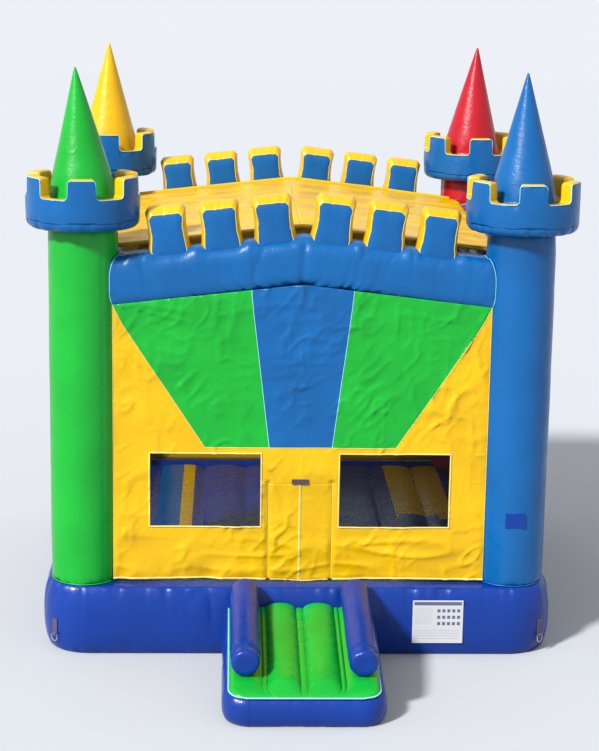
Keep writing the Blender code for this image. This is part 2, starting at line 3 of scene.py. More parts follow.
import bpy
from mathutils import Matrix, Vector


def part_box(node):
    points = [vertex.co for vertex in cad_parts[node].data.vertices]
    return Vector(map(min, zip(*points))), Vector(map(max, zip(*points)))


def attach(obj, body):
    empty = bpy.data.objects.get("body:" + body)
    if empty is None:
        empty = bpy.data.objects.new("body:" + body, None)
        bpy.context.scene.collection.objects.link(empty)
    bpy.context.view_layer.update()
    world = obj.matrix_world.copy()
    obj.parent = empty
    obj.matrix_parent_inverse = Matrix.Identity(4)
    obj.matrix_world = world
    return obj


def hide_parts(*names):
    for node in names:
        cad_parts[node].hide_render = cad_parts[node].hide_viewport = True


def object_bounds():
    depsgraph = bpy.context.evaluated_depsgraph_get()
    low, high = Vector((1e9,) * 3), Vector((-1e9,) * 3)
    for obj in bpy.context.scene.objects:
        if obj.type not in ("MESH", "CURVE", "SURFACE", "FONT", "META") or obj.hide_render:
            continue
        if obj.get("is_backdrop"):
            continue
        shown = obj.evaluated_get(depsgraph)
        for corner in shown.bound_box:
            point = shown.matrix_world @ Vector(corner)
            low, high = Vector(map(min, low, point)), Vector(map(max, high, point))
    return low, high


bl_info = {
    "name": "Bounce Castle Skins",
    "version": (1, 0, 0),
    "blender": (4, 5, 0),
    "location": "View3D > Sidebar > Castle",
    "description": "Builds the inflated skins, sheets and netting of a bounce castle on its frame",
    "category": "Add Mesh",
}

import functools
import itertools
import math

import bmesh
import bpy
import numpy as np
from mathutils import Matrix, Vector

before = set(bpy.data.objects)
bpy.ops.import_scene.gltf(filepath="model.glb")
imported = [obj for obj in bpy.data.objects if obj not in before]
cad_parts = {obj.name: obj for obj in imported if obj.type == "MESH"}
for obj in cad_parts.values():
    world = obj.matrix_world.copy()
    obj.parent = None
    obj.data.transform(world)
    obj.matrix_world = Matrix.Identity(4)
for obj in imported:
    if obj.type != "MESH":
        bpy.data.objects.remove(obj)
CAD_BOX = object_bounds()

# The four towers: vinyl colour, and turn of the crown in degrees.
TOWERS = {
    "front_left": ("green", 3.0),
    "front_right": ("sky_blue", 2.0),
    "back_left": ("yellow", 1.0),
    "back_right": ("red", 6.0),
}
# The gap left where one skin ends on another.
HAIR = 0.0004
# The plane of the front wall, and its mirror for the other three walls.
WALL_PLACE = 1.8
# How far a wall's top edge is drawn up to meet its header, over the band's height below the edge.
TUCK = 0.035
TUCK_BAND = 0.12


# ---- numbers and noise ----

@functools.cache
def box(name):
    """The lowest and highest corner of a CAD node."""
    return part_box(name)


def linear(hex_code):
    """The linear colour of an sRGB hex code."""
    channels = [int(hex_code[place:place + 2], 16) / 255 for place in (1, 3, 5)]
    return tuple(c / 12.92 if c <= 0.04045 else ((c + 0.055) / 1.055) ** 2.4 for c in channels)


def smooth_noise(seed, *axes):
    """Smooth values from -1 to 1 that change over one unit of each axis."""
    points = np.stack([np.asarray(axis, float) for axis in axes], axis=-1) + 31.7 * seed
    base = np.floor(points)
    ease = points - base
    ease = ease * ease * (3 - 2 * ease)
    spread = np.array([127.1, 311.7, 74.7])[:len(axes)]
    total = np.zeros(points.shape[:-1])
    for corner in itertools.product((0, 1), repeat=len(axes)):
        hashed = np.sin((base + corner) @ spread) * 43758.5453
        weight = np.prod(np.where(corner, ease, 1 - ease), axis=-1)
        total += (hashed - np.floor(hashed)) * weight
    return 2 * total - 1


def bump(values, middle, width):
    """A soft hill of height 1 around middle."""
    return np.exp(-((values - middle) / width) ** 2)


def gathers(seed, run, away, spacing, reach):
    """Puckers, from 0 to 1, that a drawn seam sends into the vinyl: run is along the seam, away from it."""
    fold = np.clip(smooth_noise(seed, run / spacing) + 0.25, 0, 1) ** 1.4
    length = reach * (0.45 + 0.55 * (1 + smooth_noise(seed + 1, run / (2.6 * spacing))))
    return fold * np.exp(-(np.maximum(away, 0) / length) ** 1.6)


def creases(seed, along, across):
    """Sharp branching fold lines, from 0 to 1, about one unit long and one unit apart."""
    bend = 0.35 * smooth_noise(seed + 5, along * 1.7, across * 0.6)
    ridge = 1 - np.abs(smooth_noise(seed, along, across + bend))
    gate = np.clip(smooth_noise(seed + 9, along * 0.8, across * 0.35) + 0.2, 0, 1)
    return np.clip(ridge * 1.9 - 0.95, 0, 1) ** 2 * gate


# ---- mesh tools ----

def read_points(mesh):
    """A mesh's corners as rows of x, y and z."""
    flat = np.empty(len(mesh.vertices) * 3, np.float32)
    mesh.vertices.foreach_get("co", flat)
    return flat.reshape(-1, 3).astype(float)


def write_points(mesh, points):
    """Puts a mesh's corners at the given rows of x, y and z."""
    mesh.vertices.foreach_set("co", points.astype(np.float32).ravel())
    mesh.update()


def sew(mesh):
    """Joins edges that meet, points the faces outwards and smooths the shading."""
    bm = bmesh.new()
    bm.from_mesh(mesh)
    bmesh.ops.remove_doubles(bm, verts=bm.verts, dist=0.0002)
    bmesh.ops.dissolve_degenerate(bm, edges=bm.edges, dist=0.0001)
    bmesh.ops.recalc_face_normals(bm, faces=bm.faces)
    for face in bm.faces:
        face.smooth = True
    bm.to_mesh(mesh)
    bm.free()


def new_piece(name, mesh, materials, body="house", slot=None, stands_for=()):
    """An object at the origin that rides on a body and stands for the CAD nodes it covers."""
    piece = bpy.data.objects.new(name, mesh)
    bpy.context.scene.collection.objects.link(piece)
    for material in materials:
        mesh.materials.append(material)
    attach(piece, body)
    if stands_for:
        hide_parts(*stands_for)
    return piece


def skin(name, us, vs, place, paint=None):
    """A mesh grid whose corner (u, v) goes to place(u, v). paint(u, v) gives a face its material's number."""
    bm = bmesh.new()
    bmesh.ops.create_grid(bm, x_segments=len(us) - 1, y_segments=len(vs) - 1, size=0.5)
    mesh = bpy.data.meshes.new(name)
    bm.to_mesh(mesh)
    bm.free()
    corners = read_points(mesh)
    column = np.rint((corners[:, 0] + 0.5) * (len(us) - 1)).astype(int)
    row = np.rint((corners[:, 1] + 0.5) * (len(vs) - 1)).astype(int)
    if paint:
        count = len(mesh.polygons)
        first = np.empty(count * 4, np.int32)
        mesh.polygons.foreach_get("vertices", first)
        quads = first.reshape(-1, 4)
        numbers = paint(us[column][quads].mean(axis=1), vs[row][quads].mean(axis=1))
        mesh.polygons.foreach_set("material_index", numbers.astype(np.int32))
    write_points(mesh, place(us[column], vs[row]))
    sew(mesh)
    return mesh


def piping(name, paths, radius, material, slot, body="house", closed=False):
    """Round cord piping along each path of points."""
    curve = bpy.data.curves.new(name, "CURVE")
    curve.dimensions = "3D"
    curve.bevel_depth = radius
    curve.bevel_resolution = 2
    curve.use_fill_caps = True
    for path in paths:
        spline = curve.splines.new("POLY")
        spline.points.add(len(path) - 1)
        flat = np.ones((len(path), 4))
        flat[:, :3] = path
        spline.points.foreach_set("co", flat.ravel())
        spline.use_cyclic_u = closed
    draft = bpy.data.objects.new(name + "_draft", curve)
    bpy.context.scene.collection.objects.link(draft)
    shape = draft.evaluated_get(bpy.context.evaluated_depsgraph_get())
    mesh = bpy.data.meshes.new_from_object(shape)
    bpy.data.objects.remove(draft)
    mesh.name = name
    for polygon in mesh.polygons:
        polygon.use_smooth = True
    mesh.materials.clear()
    return new_piece(name, mesh, [material], body, slot)


# ---- materials ----

def node(tree, kind, inputs=None, **settings):
    """Adds a node with its settings. An input is a value, or a socket that gets a link."""
    new = tree.nodes.new(kind)
    for key, value in settings.items():
        setattr(new, key, value)
    for key, value in (inputs or {}).items():
        socket = new.inputs[key]
        if isinstance(value, bpy.types.NodeSocket):
            tree.links.new(value, socket)
        else:
            socket.default_value = value
    return new


def shader(name, **values):
    """A material with a Principled shader and the shader's constants. Returns it, its tree and the shader."""
    material = bpy.data.materials.new(name)
    material.use_nodes = True
    tree = material.node_tree
    principled = tree.nodes["Principled BSDF"]
    for key, value in values.items():
        principled.inputs[key.replace("_", " ")].default_value = value
    return material, tree, principled


def ramp(tree, factor, stops):
    """A colour ramp with a list of (place, colour) stops."""
    new = node(tree, "ShaderNodeValToRGB", {"Fac": factor})
    elements = new.color_ramp.elements
    while len(elements) < len(stops):
        elements.new(1.0)
    for element, (place, colour) in zip(elements, stops):
        element.position = place
        element.color = (*colour, 1.0)
    return new.outputs["Color"]


def tint(colour, factor):
    """A lighter or darker colour."""
    return tuple(min(1.0, channel * factor) for channel in colour)


def coated_vinyl(name, colour, roughness=0.30):
    """PVC-coated polyester, 0.55 mm: a wet-looking coat, cloudy from handling, over a scrim of threads."""
    material, tree, principled = shader(name, IOR=1.53, Specular_IOR_Level=0.28)
    place = node(tree, "ShaderNodeTexCoord").outputs["Object"]
    cloud = node(tree, "ShaderNodeTexNoise", {
        "Vector": place, "Scale": 1 / 0.45, "Detail": 4.0,
    }).outputs["Fac"]
    stops = [(0.30, tint(colour, 0.88)), (0.55, colour), (0.80, tint(colour, 1.10))]
    tree.links.new(ramp(tree, cloud, stops), principled.inputs["Base Color"])
    smear = node(tree, "ShaderNodeTexNoise", {
        "Vector": place, "Scale": 1 / 0.09, "Detail": 5.0,
    }).outputs["Fac"]
    gloss = node(tree, "ShaderNodeMapRange", {
        "Value": smear, "From Min": 0.3, "From Max": 0.7,
        "To Min": roughness - 0.05, "To Max": roughness + 0.09,
    }).outputs["Result"]
    tree.links.new(gloss, principled.inputs["Roughness"])
    # The scrim's threads are about 1.1 mm apart, and are drawn 10 mm apart so that a near view shows them.
    threads = None
    for direction in "XYZ":
        wave = node(tree, "ShaderNodeTexWave", {"Vector": place, "Scale": 1 / 0.005 / 20 * 3.14},
                    bands_direction=direction).outputs["Fac"]
        threads = wave if threads is None else node(
            tree, "ShaderNodeMath", {0: threads, 1: wave}, operation="ADD").outputs[0]
    scrim = node(tree, "ShaderNodeBump", {"Height": threads, "Strength": 0.10, "Distance": 0.0003})
    # Small handling creases, 20 to 60 mm long, that never quite press out.
    crease = node(tree, "ShaderNodeTexNoise", {
        "Vector": place, "Scale": 1 / 0.06, "Detail": 3.0, "Distortion": 1.2,
    }).outputs["Fac"]
    handled = node(tree, "ShaderNodeBump", {
        "Height": crease, "Strength": 0.45, "Distance": 0.006, "Normal": scrim.outputs["Normal"],
    })
    tree.links.new(handled.outputs["Normal"], principled.inputs["Normal"])
    return material


def woven(name, colour, spacing, roughness=0.8, sheen=0.3, gloss=0.5):
    """Woven polypropylene or polyester tape: ribs of thread that catch a soft sheen."""
    material, tree, principled = shader(
        name, Roughness=roughness, Sheen_Weight=sheen, Specular_IOR_Level=gloss)
    place = node(tree, "ShaderNodeTexCoord").outputs["Object"]
    ribs = node(tree, "ShaderNodeTexVoronoi", {"Vector": place, "Scale": 1 / spacing}).outputs["Distance"]
    tree.links.new(ramp(tree, ribs, [(0.0, tint(colour, 1.25)), (0.7, tint(colour, 0.6))]),
                   principled.inputs["Base Color"])
    relief = node(tree, "ShaderNodeBump", {"Height": ribs, "Strength": 0.5, "Distance": 0.001})
    tree.links.new(relief.outputs["Normal"], principled.inputs["Normal"])
    return material


def zinc_plate(name, colour):
    """Zinc-plated steel rod: a dull silver with cloudy spots from the bath."""
    material, tree, principled = shader(name, Metallic=1.0)
    place = node(tree, "ShaderNodeTexCoord").outputs["Object"]
    spots = node(tree, "ShaderNodeTexNoise", {
        "Vector": place, "Scale": 1 / 0.006, "Detail": 4.0,
    }).outputs["Fac"]
    stops = [(0.3, tint(colour, 0.8)), (0.7, colour)]
    tree.links.new(ramp(tree, spots, stops), principled.inputs["Base Color"])
    gloss = node(tree, "ShaderNodeMapRange", {
        "Value": spots, "To Min": 0.28, "To Max": 0.48,
    }).outputs["Result"]
    tree.links.new(gloss, principled.inputs["Roughness"])
    return material


def printed_sheet(name, low, high):
    """A screen-printed vinyl notice: a dark title bar and rows of plain grey marks, no lettering."""
    material, tree, principled = shader(name, Roughness=0.45, IOR=1.53)
    place = node(tree, "ShaderNodeTexCoord").outputs["Object"]
    centred = node(tree, "ShaderNodeMapping", {
        "Vector": place, "Location": (-low.x, 0, -low.z),
    }).outputs["Vector"]
    parts = node(tree, "ShaderNodeSeparateXYZ", {"Vector": centred})
    width, height = high.x - low.x, high.z - low.z
    x = node(tree, "ShaderNodeMath", {0: parts.outputs["X"], 1: width}, operation="DIVIDE").outputs[0]
    z = node(tree, "ShaderNodeMath", {0: parts.outputs["Z"], 1: height}, operation="DIVIDE").outputs[0]

    def between(value, start, stop):
        above = node(tree, "ShaderNodeMath", {0: value, 1: start}, operation="GREATER_THAN").outputs[0]
        below = node(tree, "ShaderNodeMath", {0: value, 1: stop}, operation="LESS_THAN").outputs[0]
        return node(tree, "ShaderNodeMath", {0: above, 1: below}, operation="MULTIPLY").outputs[0]

    def dots(value, start, step, size):
        """1 inside each of a row of marks that are step apart."""
        moved = node(tree, "ShaderNodeMath", {0: value, 1: start}, operation="SUBTRACT").outputs[0]
        turns = node(tree, "ShaderNodeMath", {0: moved, 1: step}, operation="DIVIDE").outputs[0]
        share = node(tree, "ShaderNodeMath", {0: turns}, operation="FRACT").outputs[0]
        return node(tree, "ShaderNodeMath", {0: share, 1: size}, operation="LESS_THAN").outputs[0]

    def both(*values):
        product = values[0]
        for value in values[1:]:
            product = node(tree, "ShaderNodeMath", {0: product, 1: value}, operation="MULTIPLY").outputs[0]
        return product

    title = both(between(z, 0.885, 0.965), between(x, 0.03, 0.97))
    block = both(between(x, 0.48, 0.97), between(z, 0.40, 0.82))
    grid = both(block, dots(x, 0.49, 0.098, 0.62), dots(z, 0.42, 0.15, 0.5))
    lines = both(between(x, 0.05, 0.40), between(z, 0.45, 0.82), dots(z, 0.45, 0.05, 0.30))
    footer = both(between(x, 0.05, 0.93), between(z, 0.10, 0.34), dots(z, 0.10, 0.06, 0.35))
    marks = node(tree, "ShaderNodeMath", {0: grid, 1: title}, operation="MAXIMUM").outputs[0]
    pale = node(tree, "ShaderNodeMath", {0: lines, 1: footer}, operation="MAXIMUM").outputs[0]
    pale = node(tree, "ShaderNodeMath", {0: pale, 1: 0.25}, operation="MULTIPLY").outputs[0]
    amount = node(tree, "ShaderNodeMath", {0: marks, 1: pale}, operation="MAXIMUM").outputs[0]
    colours = [(0.0, linear("#ABAAAD")), (1.0, linear("#4A4F66"))]
    tree.links.new(ramp(tree, amount, colours), principled.inputs["Base Color"])
    return material


# ---- sizes and colours a user would change ----

def colour_property(name, description, hex_code):
    return bpy.props.FloatVectorProperty(
        name=name, description=description, default=linear(hex_code), size=3, subtype="COLOR", min=0, max=1)


def length_property(name, description, default):
    return bpy.props.FloatProperty(
        name=name, description=description, default=default, min=0.0, unit="LENGTH")


class CastleColours(bpy.types.PropertyGroup):
    royal_blue: colour_property("Royal blue", "Base, step and bolsters", "#002A78")
    sky_blue: colour_property("Sky blue", "Headers, crowns and one tower", "#004C84")
    green: colour_property("Green", "One tower, the fan's wings and the step's bed", "#088C26")
    yellow: colour_property("Yellow", "Front wall, roof and linings", "#C09600")
    red: colour_property("Red", "One tower", "#94081A")
    pale_seam: colour_property("Seam piping", "Piping where two colours meet", "#7FB8BC")
    cream_seam: colour_property("Cream binding", "Binding of the openings and hems", "#C4B060")
    net: colour_property("Netting", "Safety net in the walls", "#08090C")
    webbing: colour_property("Webbing", "Anchor straps and the entrance bar", "#3B2A4C")
    steel: colour_property("Steel", "Anchor rings", "#C2C4C8")


class CastleSizes(bpy.types.PropertyGroup):
    step: length_property("Mesh spacing", "Distance between the corners of a skin's mesh", 0.014)
    pucker: length_property("Pucker depth", "Depth of the gathers at a sewn seam", 0.015)
    fold: length_property("Fold depth", "Depth of the folds in a slack sheet", 0.025)
    piping: length_property("Piping radius", "Radius of the piping in the seams", 0.0035)
    sheet: length_property("Sheet thickness", "Thickness of a single vinyl sheet", 0.002)
    net_cell: length_property("Net cell", "Side of one mesh of the safety net", 0.020)
    net_cord: length_property("Net cord", "Thickness of the net's cord", 0.0032)


MATERIALS = {}


def make_materials():
    """Makes one material for each of the castle's finishes, and keeps it under its slot."""
    colours = bpy.context.scene.castle_colours
    for slot in ("royal_blue", "sky_blue", "green", "yellow", "red"):
        MATERIALS[slot] = coated_vinyl("coated_vinyl_" + slot, tuple(getattr(colours, slot)))
    MATERIALS["pale_seam"] = coated_vinyl("seam_piping_pale", tuple(colours.pale_seam), 0.40)
    MATERIALS["cream_seam"] = coated_vinyl("seam_binding_cream", tuple(colours.cream_seam), 0.42)
    MATERIALS["net"] = woven("knotless_polyester_net", tuple(colours.net), 0.002, sheen=0.0, gloss=0.15)
    MATERIALS["webbing"] = woven("polypropylene_webbing", tuple(colours.webbing), 0.003)
    MATERIALS["steel"] = zinc_plate("zinc_plated_steel", tuple(colours.steel))
    MATERIALS["white"] = printed_sheet("printed_notice_vinyl", *box("notice_panel"))


def sizes():
    return bpy.context.scene.castle_sizes


# ---- shapes that several pieces share ----

def outline_points(run, half_x, half_y, corner, inset):
    """Points along a rounded rectangle, run metres round it from its front left corner's end."""
    core_x, core_y = half_x - corner, half_y - corner
    arc = math.pi / 2 * corner
    lengths = np.cumsum([0, 2 * core_x, arc, 2 * core_y, arc, 2 * core_x, arc, 2 * core_y, arc])
    x = np.interp(run, lengths, core_x * np.array([-1, 1, 1, 1, 1, -1, -1, -1, -1]))
    y = np.interp(run, lengths, core_y * np.array([-1, -1, -1, 1, 1, 1, 1, -1, -1]))
    facing = np.radians(np.interp(run, lengths, [-90, -90, 0, 0, 90, 90, 180, 180, 270]))
    return x + (corner - inset) * np.cos(facing), y + (corner - inset) * np.sin(facing), facing


def outline_length(half_x, half_y, corner):
    """The way round a rounded rectangle, in metres."""
    return 4 * (half_x + half_y - 2 * corner) + 2 * math.pi * corner


def gable_rise(x):
    """Height of the gable over its ends at x."""
    high = box("front_wall")[1]
    rise = box("header_front")[1].z - box("header_left")[1].z
    return rise * (1 - np.sqrt(np.square(x) + 0.0004) / high.x)


def tower_axis(tower):
    """The middle of a tower's column, and its radius."""
    low, high = box("column_" + tower)
    return (low + high) / 2, (high.x - low.x) / 2


# ---- base and floor ----

BASE_BULGE = 0.06
BASE_CORNER = 0.36


def base_side_inset(z, height):
    """How far the base's side stands in from its widest line at height z."""
    share = np.clip(np.abs(z / (height / 2) - 1), 0, 1)
    return BASE_BULGE * (1 - np.sqrt(1 - share ** 2.2))


def make_base():
    high = box("base_bed")[1]
    half = high.x
    height = high.z
    step = sizes().step * 1.3
    rim = 0.248
    side_rows = np.linspace(math.pi / 2, -math.pi / 2, 44)
    side_z = height / 2 * (1 + np.sin(side_rows))
    profile = [(rim, height - 0.04, closed) for closed in (1.0, 0.5, 0.0)] + [(rim, height - 0.004, 0)]
    profile += [(inset, height - 0.001, 0) for inset in np.linspace(rim - 0.02, BASE_BULGE + 0.006, 12)]
    profile += [(float(base_side_inset(z, height)), z, 0) for z in side_z]
    profile += [(BASE_BULGE + 0.03, 0.0, 0.0), (BASE_BULGE, 0.0, 0.4), (BASE_BULGE, 0.0, 1.0)]
    insets, heights, closing = np.array(profile).T
    around = outline_length(half, half, BASE_CORNER)

    def place(run, row):
        row = row.astype(int)
        z, inset = heights[row], insets[row]
        side = (closing[row] == 0) & (z > 0.01) & (inset < BASE_BULGE + 0.001)
        top = gathers(3, run, height - z, 0.050, 0.11) * sizes().pucker
        drape = creases(11, run / 0.16, z / 0.6 + 4) * 0.012 * np.clip((z - 0.12) / 0.3, 0, 1)
        foot = gathers(5, run, z, 0.06, 0.05) * sizes().pucker * 0.8
        swell = 0.004 * smooth_noise(8, run / 0.55, z / 0.5)
        near_tower = 0
        x, y, _ = outline_points(run, half, half, BASE_CORNER, 0.0)
        for tower in TOWERS:
            axis, radius = tower_axis(tower)
            near_tower = near_tower + bump(np.hypot(x - axis.x, y - axis.y), radius, 0.16)
        pull = gathers(21, run, height - z, 0.045, 0.14) * near_tower * 0.012
        relief = np.where(side, swell - top - drape - foot - pull, 0)
        x, y, _ = outline_points(run, half, half, BASE_CORNER, np.maximum(inset - relief, 0.0))
        lift = np.where((closing[row] == 0) & (z > height - 0.01) & (inset < rim),
                        -0.004 * gathers(6, run, inset - BASE_BULGE, 0.06, 0.06), 0)
        keep = 1 - closing[row]
        return np.stack([x * keep, y * keep, z + lift], axis=-1)

    rows = np.arange(len(profile))
    mesh = skin("base_skin", np.linspace(0, around, int(around / step)), rows, place)
    base = new_piece("base_skin", mesh, [MATERIALS["royal_blue"]], "house", "royal_blue", ["base_bed"])

    run = np.linspace(0, around, 500)[:-1]
    x, y, _ = outline_points(run, half, half, BASE_CORNER, BASE_BULGE + 0.004)
    seam = np.stack([x, y, np.full(len(run), height - 0.0045)], axis=-1)
    piping("base_top_seam", [seam], 0.004, MATERIALS["royal_blue"], "royal_blue", closed=True)


# Distance between the seams that hold the floor's top down, and the depth of its middle below the rim.
FLOOR_CHANNEL = 0.39
FLOOR_SINK = 0.046


def make_jump_floor():
    high = box("jump_floor")[1]
    reach = high.x - 0.004
    step = 0.026
    spots = np.linspace(-reach, reach, int(2 * reach / step))
    rows = np.concatenate([[-reach - 1], spots, [reach + 1]])

    def place(x, y):
        inside_x = np.clip(x, -reach, reach)
        inside_y = np.clip(y, -reach, reach)
        share = ((inside_x / FLOOR_CHANNEL) % 1.0) * 2 - 1
        dome = np.sqrt(np.clip(1 - share ** 2, 0, 1))
        ends = np.clip((reach - np.abs(inside_y)) / 0.10, 0, 1) ** 0.5
        sides = np.clip((reach - np.abs(inside_x)) / 0.06, 0, 1) ** 0.5
        wrinkle = gathers(31, inside_y, np.abs(1 - np.abs(share)) * FLOOR_CHANNEL / 2, 0.06, 0.07) * 0.006
        z = high.z - FLOOR_SINK + (0.040 * dome - wrinkle) * ends * sides
        under = (np.abs(x) > reach + 0.5) | (np.abs(y) > reach + 0.5)
        return np.stack([inside_x, inside_y, np.where(under, high.z - 0.07, z)], axis=-1)

    # Faces 1 are sky blue: painted pools of sunlight where the sun falls through the nets and windows onto
    # the floor. Faces 2 are yellow strips on the floor.
    def paint(x, y):
        number = np.zeros(len(x))
        number[(x > -1.18) & (x < -0.96)] = 1
        number[(x > -0.96) & (x < -0.85)] = 2
        number[(x > 0.90) & (x < 1.42) & (y > -0.10) & (y < 1.65)] = 2
        number[(x > 0.44) & (x < 0.68) & (y > -0.10) & (y < 0.60)] = 1
        number[(x > 0.94) & (x < 1.28) & (np.abs(y + 0.05) < 0.12)] = 1
        return number

    mesh = skin("jumping_floor", rows, rows, place, paint)
    # The sky-blue vinyl on this floor paints its sunlit patches.
    colours = [MATERIALS[slot] for slot in ("royal_blue", "sky_blue", "yellow")]
    floor = new_piece("jumping_floor", mesh, colours, "house", "royal_blue", ["jump_floor"])


# ---- towers ----

def make_column(tower, colour):
    axis, radius = tower_axis(tower)
    low, high = box("column_" + tower)
    bottom, top = low.z, high.z - 0.002
    step = sizes().step * 1.25
    seed = list(TOWERS).index(tower) * 40 + 100
    middle = np.linspace(bottom + 0.05, top - 0.05, int((top - bottom) / step))
    foot_heights = [bottom, bottom, bottom + 0.006, bottom + 0.022]
    heights = np.concatenate([foot_heights, middle, [top - 0.02, top, top]])
    radii = np.concatenate([[0, radius - 0.012, radius - 0.006, radius - 0.001],
                            np.full(len(middle), radius), [radius - 0.002, radius - 0.012, 0]])

    def place(angle, row):
        row = row.astype(int)
        z, distance = heights[row], radii[row]
        run = angle * radius
        foot = gathers(seed, run, z - bottom, 0.05, 0.055)
        head = gathers(seed + 2, run, top - z, 0.05, 0.10)
        belly = 0.003 * np.sin(math.pi * (z - bottom) / (top - bottom))
        slack = 0.0015 * smooth_noise(seed + 4, run / 0.30, z / 0.22)
        weld = 0.003 * (bump(np.cos(angle - 2.2), 1, 0.0006) + bump(np.cos(angle - 2.2), -1, 0.0006))
        relief = belly + slack - weld - (foot + head) * sizes().pucker * 0.8
        distance = np.where(distance > radius - 0.03, distance + relief, distance)
        return np.stack([axis.x + distance * np.cos(angle), axis.y + distance * np.sin(angle), z], axis=-1)

    angles = np.linspace(0, 2 * math.pi, int(2 * math.pi * radius / step))
    mesh = skin("column_skin_" + tower, angles, np.arange(len(heights)), place)
    column = new_piece(mesh.name, mesh, [MATERIALS[colour]], "house", colour, ["column_" + tower])
    ring = np.linspace(0, 2 * math.pi, 121)[:-1]
    foot = np.stack([axis.x + (radius - 0.003) * np.cos(ring), axis.y + (radius - 0.003) * np.sin(ring),
                     np.full(len(ring), bottom + 0.006)], axis=-1)
    piping("column_foot_seam_" + tower, [foot], 0.005, MATERIALS[colour], colour, closed=True)


CROWN_MERLONS = 6
CROWN_GAP_DEG = 32.0
CROWN_LIP = 0.239
CROWN_WALL = 0.10
CROWN_CORNER = 0.035


def crown_edge(angle, turn, radius, lip, top):
    """Height of the crown's edge: merlons with a rounded foot and head, the first one facing the front."""
    cell = 2 * math.pi / CROWN_MERLONS
    gap = math.radians(CROWN_GAP_DEG) / 2
    from_gap = np.abs((angle + math.pi / 2 - turn + cell) % cell - cell / 2)
    away = (from_gap - gap) * radius
    corner = CROWN_CORNER
    foot = lip + corner * (1 - np.sqrt(1 - np.clip(1 + away / corner, 0, 1) ** 2))
    head = top - 0.7 * corner * (1 - np.sqrt(1 - np.clip(1 - away / (0.7 * corner), 0, 1) ** 2))
    return np.where(away < 0, foot, head)


def make_crown(tower, turn_deg):
    low, high = box("crown_" + tower)
    axis, _ = tower_axis(tower)
    radius = (high.x - low.x) / 2
    lip, top = low.z + CROWN_LIP, high.z - 0.004
    turn = math.radians(turn_deg)
    seed = list(TOWERS).index(tower) * 40 + 500
    cell = 2 * math.pi / CROWN_MERLONS
    gap = math.radians(CROWN_GAP_DEG) / 2
    corner = CROWN_CORNER / radius
    base = -math.pi / 2 + turn
    angles = []
    for number in range(CROWN_MERLONS):
        centre = base + cell * (number + 0.5)
        for side in (-1, 1):
            edge = centre + side * gap
            angles += [edge - 0.0012, edge + 0.0012]
            angles += list(edge + side * corner * np.linspace(0.06, 0.7, 7))
            angles += list(edge - side * corner * np.linspace(0.06, 1.0, 8))
        angles += list(centre + np.linspace(-gap + corner, gap - corner, 9)[1:-1])
        angles += list(centre + cell / 2 + np.linspace(-1, 1, 15) * (cell / 2 - gap - 0.8 * corner))
    angles = np.unique(np.round(np.mod(np.array(angles), 2 * math.pi), 5))
    angles = np.concatenate([angles, [angles[0] + 2 * math.pi]])

    under = np.linspace(0, math.pi / 2, 9)
    round_foot = 0.055
    outer_share = np.linspace(0, 1, 26)[1:]
    rows = [("under", 0.0), ("under", 0.5), ("under", 0.86)]
    rows += [("foot", part) for part in under]
    rows += [("outer", part) for part in outer_share]
    rows += [("head", part) for part in np.linspace(0, 1, 9)[1:]]
    rows += [("inner", part) for part in np.linspace(0, 1, 8)[1:]]
    rows += [("floor", part) for part in (0.3, 0.7, 1.0)]
    kinds = np.array([["under", "foot", "outer", "head", "inner", "floor"].index(kind) for kind, _ in rows])
    parts = np.array([part for _, part in rows])
    inner_radius = radius - CROWN_WALL
    floor_z = lip - 0.02

    def place(angle, row):
        row = row.astype(int)
        kind, part = kinds[row], parts[row]
        edge = crown_edge(angle, turn, radius, lip, top)
        run = angle * radius
        start = low.z + round_foot
        outer_z = start + part * (edge - start)
        waist = 0.004 * np.sin(math.pi * np.clip((outer_z - start) / (top - start), 0, 1))
        puckers = gathers(seed, run, outer_z - low.z - 0.02, 0.045, 0.05)
        drawn = gathers(seed + 3, run, edge - outer_z, 0.05, 0.035)
        slack = 0.002 * smooth_noise(seed + 6, run / 0.12, outer_z / 0.12)
        outer_r = radius - 0.008 + waist + slack - (puckers + drawn) * sizes().pucker * 0.7
        foot_r = radius - 0.008 - round_foot * (1 - np.sin(part * math.pi / 2)) \
            - gathers(seed, run, part * 0.02, 0.045, 0.05) * sizes().pucker * 0.9
        foot_z = low.z + round_foot * (1 - np.cos(part * math.pi / 2))
        head_r = radius - 0.008 - part * (CROWN_WALL - 0.008)
        head_z = edge + 0.010 * np.sqrt(np.abs(np.sin(math.pi * part))) * (edge > lip + 0.08)
        inner_z = edge + part * (floor_z - edge)
        r = np.choose(kind, [part * (radius - 0.063), foot_r, outer_r, head_r,
                             np.full(len(part), inner_radius), inner_radius * (1 - part)])
        z = np.choose(kind, [np.full(len(part), low.z), foot_z, outer_z, head_z, inner_z,
                             np.full(len(part), floor_z)])
        return np.stack([axis.x + r * np.cos(angle), axis.y + r * np.sin(angle), z], axis=-1)

    last_blue = int(np.flatnonzero(kinds == 2)[-1])

    def paint(angle, row):
        return (row > last_blue).astype(int)

    mesh = skin("crown_skin_" + tower, angles, np.arange(len(rows)), place, paint)
    crown = new_piece("crown_skin_" + tower, mesh, [MATERIALS["sky_blue"], MATERIALS["yellow"]],
                      "house", "royal_blue", ["crown_" + tower])
    lip_r = radius - 0.008
    lip_z = crown_edge(angles, turn, radius, lip, top)
    path = np.stack([axis.x + lip_r * np.cos(angles), axis.y + lip_r * np.sin(angles), lip_z], axis=-1)
    piping("crown_piping_" + tower, [path[:-1]], sizes().piping * 0.8, MATERIALS["pale_seam"], "royal_blue",
           closed=True)


SPIRE_LEAN = {"front_left": -0.05, "back_right": 0.03}


